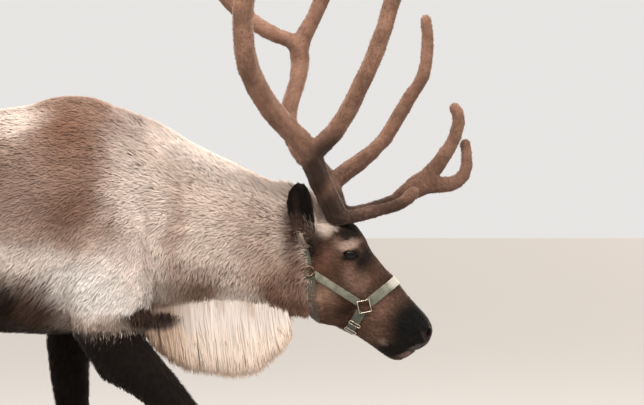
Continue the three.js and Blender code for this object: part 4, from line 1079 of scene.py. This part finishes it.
def on_skin(spots):
    """Roots and normals where lines from the sides meet the skin: x, z and side of each."""
    roots, normal = [], []
    for x, z, sign in spots:
        place, facing, _, _ = skin_tree.ray_cast(Vector((x, MIDDLE_Y + sign, z)), Vector((0, -sign, 0)))
        if place is not None and abs(place.y - MIDDLE_Y) > 0.02:
            roots.append(place)
            normal.append(facing)
    return np.array(roots), np.array(normal)


def loose_tufts(name, slot, label, spots, way, hug, sizes, face, draw, dark_as_shadow=False):
    """Longer tufts rooted where lines from the sides meet the skin."""
    roots, normal = on_skin(spots)
    count = len(roots)
    direction = laid(np.array([way[0], 0, way[1]]) + draw.normal(size=(count, 3)) * 0.16, normal, hug)
    long, wide, high = (draw.uniform(least, most, count) for least, most in sizes)
    # Tufts that stand for the chest's shadow are mostly dark: painted shadow
    if dark_as_shadow:
        shade = np.where(draw.random(count) < 0.85, 0.0, 0.5)
    else:
        shade = np.clip(0.5 + 0.2 * draw.normal(size=count), 0.14, 1)
    uv = unwrapped(roots, np.full(count, label))
    made = tuft_mesh(name, roots, normal, direction, long, wide, high, uv, shade, face, rings=LOOSE)
    dress(made, coat_hair, slot)


# Painted shadow: mostly dark tufts where the neck meets the chest, hanging over the top of the mane
CHEST_SHADOW_TUFTS = 1700
draw = np.random.default_rng(65)
count = int(CHEST_SHADOW_TUFTS * thin)
reach = np.sqrt(draw.random(count)) * (1 + 0.15 * draw.normal(size=count))
turn = draw.uniform(0, 2 * math.pi, count)
chest_x = 0.196 + 0.045 * reach * np.cos(turn) + SHIFT.x
chest_z = 0.589 + 0.011 * reach * np.sin(turn) + 0.004 * draw.normal(size=count)
chest_side = np.where(np.arange(count) % 3 == 0, 1, -1)
loose_tufts("coat_chest_shadow", "coat_body", "neck", zip(chest_x, chest_z, chest_side), (-0.25, -0.9), 0.8,
            ((0.016, 0.032), (0.0008, 0.0013), (0.010, 0.020)), 1.0, draw, dark_as_shadow=True)

# Hair over the edges of the straps: first and last place, looseness, way, length, rise, count, face
COVERS = [
    ((304.5, 272), (305.5, 314), 2.2, (0.12, -1.0), 0.024, 0.010, 1300, 0.0),
    ((321, 284), (323, 319), 1.6, (-0.9, -0.45), 0.012, 0.006, 500, 1.0),
    ((311, 238), (314.5, 262), 1.6, (-0.95, -0.3), 0.014, 0.008, 700, 1.0),
    ((298.5, 232), (302.5, 264), 2.0, (0.25, -1.0), 0.018, 0.009, 700, 0.0),
]
for number, (first, last, loose, way, long, high, count, face) in enumerate(COVERS):
    draw = np.random.default_rng(80 + number)
    spots = []
    for k in range(int(count * thin)):
        t = draw.random()
        column = first[0] + (last[0] - first[0]) * t + loose * draw.normal()
        x, _, z = seen(column, first[1] + (last[1] - first[1]) * t, -0.09)
        spots.append((x, z, 1 if k % 2 else -1))
    sizes = ((long * 0.6, long * 1.2), (0.0006, 0.001), (high * 0.6, high * 1.1))
    loose_tufts(f"coat_by_strap_{number + 1}", "coat_head", "head", spots, way, 0.9, sizes, face, draw)


# Lashes of the upper lids and whiskers round the lips
def bristles(name, places, directions, long, wide, shade, seed, rise_share):
    draw = np.random.default_rng(seed)
    found = [skin_tree.find_nearest(Vector(place)) for place in places]
    roots, normal = (np.array([hit[k] for hit in found]) for k in (0, 1))
    count = len(roots)
    direction = unit(np.array(directions) + draw.normal(size=(count, 3)) * 0.12)
    long = long * draw.uniform(0.7, 1.2, count)
    flat = unit(np.cross(np.cross(direction, normal), direction))
    uv = unwrapped(roots, np.full(count, "head"))
    wide = np.full(count, wide)
    dress(tuft_mesh(name, roots, flat, direction, long, wide, long * rise_share, uv, shade, 1.0),
          coat_hair, "coat_head")


LASHES, WHISKERS = 46, 70
lashes, lash_ways, whiskers, whisker_ways = [], [], [], []
draw = np.random.default_rng(61)
for sign in (-1, 1):
    outward = np.array([0, sign, 0])
    centre = np.array([eye_centre[0], MIDDLE_Y + sign * EYE_SIDE, eye_centre[2]])
    for t in np.linspace(-1, 1, LASHES):
        over = 0.0078 * (1 - t * t) + 0.001 + 0.28 * t * 0.0165
        lashes.append(centre + ALONG_HEAD * 0.0160 * t + OVER_HEAD * over + outward * 0.0175)
        lash_ways.append(outward + 0.35 * t * ALONG_HEAD - 0.15 * OVER_HEAD)
    for _ in range(WHISKERS):
        u, v = draw.uniform(0.30, 0.362), draw.uniform(-0.05, 0.02)
        whiskers.append(head_place(u, v, 0) + outward * 0.05)
        whisker_ways.append(0.5 * outward - 0.8 * OVER_HEAD + 0.15 * ALONG_HEAD)
bristles("lashes", lashes, lash_ways, 0.0085, 0.00028, 0.0, 62, 0.3)
bristles("whiskers", whiskers, whisker_ways, 0.014, 0.00022, 0.3, 63, 0.12)


# Halter
def webbing_material(name, direction, is_shaded):
    """Woven webbing whose threads run along a direction of the side view."""
    made = Look(name)
    place = made.object_place()
    turned = made.mapped(place, math.atan2(direction[1], direction[0]))
    run = made.math("ADD", made.axis(turned, 0), made.times(made.axis(turned, 1), 0.7))
    warp = made.math("SINE", made.times(made.axis(turned, 2), 3600.0))
    weave = made.times(warp, made.math("SINE", made.times(run, 2400.0)))
    worn = made.ranged(made.noise(place, 55.0, 5.0, 0.6), 0.35, 0.7)
    colour = made.mix(worn, tone(112, 112, 94), tone(150, 147, 128))
    speck = made.ranged(made.noise(place, 600.0, 2.0), 0.45, 0.75, 0.0, 0.4)
    colour = made.mix(speck, colour, tone(80, 82, 68))
    # Painted shade: the webbing darkens low down, towards the throat
    under = made.ranged(made.axis(place, 2), SHIFT.z + 0.66, SHIFT.z + 0.57)
    colour = made.mix(made.times(under, 0.8), colour, tone(46, 48, 38))
    # Painted shade: the throat and crown straps, which lie in shade behind the jaw and ear, take a darker
    # copy of the webbing
    if is_shaded:
        colour = made.mix(0.8, colour, tone(52, 54, 40))
    frayed = made.ranged(made.in_ellipse(place, 396, 280, 8.95, 8.95, 0, -0.02), 1.3, 0.5)
    colour = made.mix(made.times(frayed, 0.85), colour, tone(214, 206, 192))
    colour = made.mix(made.ranged(weave, -1.0, 1.0, 0.25, 0.0), colour, tone(70, 74, 60))
    return made.finished(colour, {"Roughness": 0.85, "Sheen Weight": 0.25}, (0.7, 0.0006, weave))


def metal_material(name, bright, dull):
    made = Look(name)
    place = made.object_place()
    colour = made.mix(made.ranged(made.noise(place, 120.0, 4.0), 0.4, 0.7), bright, dull)
    scratched = made.grained(made.noise(place, 900.0, 2.0), 0.18, 0.36)
    return made.finished(colour, {"Metallic": 1.0, "Roughness": scratched})


STRAP_VOXEL, METAL_VOXEL = 0.0015, 0.0007
STRAPS = {
    "halter_noseband": (36, 28), "halter_chinstrap": (-15, -26), "halter_crown": (-14, 31),
    "halter_throat": (8, -44), "halter_cheek_left": (-55, 35), "halter_cheek_right": (-55, 35),
}
for name, direction in STRAPS.items():
    # The throat and crown straps get the painted shade
    web = webbing_material(name + "_web", direction, name in ("halter_throat", "halter_crown"))
    solid(name.replace("halter", "strap"), [name], 0.0, STRAP_VOXEL, 8, web, "halter_webbing")

nickel = metal_material("nickel", tone(214, 202, 184), tone(150, 134, 114))
worn_nickel = metal_material("worn_nickel", tone(150, 132, 112), tone(96, 80, 66))


def wire_frame(name, centre, side_a, side_b, half_a, half_b, bar, corner=0.003, sides=10):
    """A rounded rectangle of round bar, lying along two directions."""
    points = []
    for k, (sign_a, sign_b) in enumerate(((1, 1), (-1, 1), (-1, -1), (1, -1))):
        for turn in k * math.pi / 2 + np.linspace(0, math.pi / 2, 5):
            points.append(centre + side_a * (sign_a * (half_a - corner) + corner * math.cos(turn))
                          + side_b * (sign_b * (half_b - corner) + corner * math.sin(turn)))
    points = np.array(points)
    forward = unit(np.roll(points, -1, axis=0) - np.roll(points, 1, axis=0))
    up = unit(np.cross(side_a, side_b)[None])
    across = np.cross(forward, up)
    angles = np.linspace(0, 2 * math.pi, sides, endpoint=False)[None, :, None]
    rings = points[:, None] + bar * (across[:, None] * np.cos(angles) + up[None] * np.sin(angles))
    corners = np.arange(len(points) * sides).reshape(-1, sides)
    beside = np.roll(corners, -1, axis=1)
    faces = np.stack([corners, beside, np.roll(beside, -1, axis=0), np.roll(corners, -1, axis=0)], axis=-1)
    dress(mesh_of(name, rings.reshape(-1, 3), faces.reshape(-1, 4)), nickel, "halter_metal")


# Bars of the buckle on the chin strap: column, row and half height of each
chin_tree, _ = node_tree(["halter_chinstrap"])
strap_run = Vector((-15, 0, -26)).normalized()
for number, (column, row, half) in enumerate(((354.6, 324.2, 0.0036), (350.6, 331.0, 0.0052))):
    x, _, z = seen(column, row, -0.04)
    place, facing, _, _ = chin_tree.ray_cast(Vector((x, -1.0, z)), Vector((0, 1, 0)))
    if place is not None:
        run = (strap_run - facing * strap_run.dot(facing)).normalized()
        centre, over = place + facing * 0.0012, facing.cross(run)
        wire_frame(f"buckle_bar_{number + 1}", np.array(centre), np.array(over), np.array(run),
                   0.0145, half, 0.0012)

for kind, metal in (("ring", worn_nickel), ("square", nickel)):
    for word in ("left", "right"):
        own = [f"halter_{kind}_{word}"]
        solid(f"{kind}_{word}", own, 0.0002, METAL_VOXEL, 14, metal, "halter_metal")


# Floor, light and camera
ground = bmesh.new()
bmesh.ops.create_grid(ground, x_segments=4, y_segments=4, size=40)
ground_mesh = bpy.data.meshes.new("floor")
ground.to_mesh(ground_mesh)
ground.free()
floor = object_of("floor", ground_mesh)
ground_mesh.materials.append(Look("floor").finished((0.42, 0.412, 0.402, 1), {"Roughness": 0.9}))
floor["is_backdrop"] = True


def aimed(name, data, place, direction):
    """Puts a light or camera at a place, looking along a direction."""
    made = object_of(name, data)
    made.location = Vector(place) + SHIFT
    made.rotation_mode = "QUATERNION"
    made.rotation_quaternion = direction.to_track_quat("-Z", "Y")
    return made


def lamp(name, kind, place, target, power, colour, **settings):
    data = bpy.data.lights.new(name, kind)
    data.energy = power
    data.color = colour
    for key, value in settings.items():
        setattr(data, key, value)
    aimed(name, data, place, Vector(target) - Vector(place))


lamp("soft_front", "AREA", (0.65, -1.9, 3.0), (0.6, 0, 0.75), 125, (1.0, 0.97, 0.94),
     shape="RECTANGLE", size=4.2, size_y=0.26)
lamp("sky", "AREA", (0.2, 0.3, 4.2), (0.2, 0, 0.8), 100, (1.0, 0.96, 0.92), shape="DISK", size=3.5)
lamp("low_sun", "SUN", (1.9, 3.6, 2.4), (0.4, 0, 0.9), 2.8, (1.0, 0.84, 0.7), angle=math.radians(18))
lamp("low_sun_left", "SUN", (-2.4, 3.4, 2.4), (0.0, 0, 0.9), 1.5, (1.0, 0.88, 0.76), angle=math.radians(18))
world = bpy.data.worlds.new("pale")
bpy.context.scene.world = world
world.use_nodes = True
world.node_tree.nodes["Background"].inputs["Color"].default_value = (0.98, 0.96, 0.94, 1)
world.node_tree.nodes["Background"].inputs["Strength"].default_value = 0.82
bpy.context.scene.view_settings.view_transform = "Standard"

SENSOR = 36
lens = bpy.data.cameras.new("camera")
lens.sensor_width = SENSOR
lens.lens = SENSOR * DISTANCE / (VIEW_WIDTH * SCALE)
lens.clip_end = 200
bpy.context.scene.camera = aimed("camera", lens, (VIEW_X, -DISTANCE, VIEW_Z), Vector((0, 1, 0)))

sizes = {"cad": [list(c) for c in cad_box], "visual": [list(c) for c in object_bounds()]}
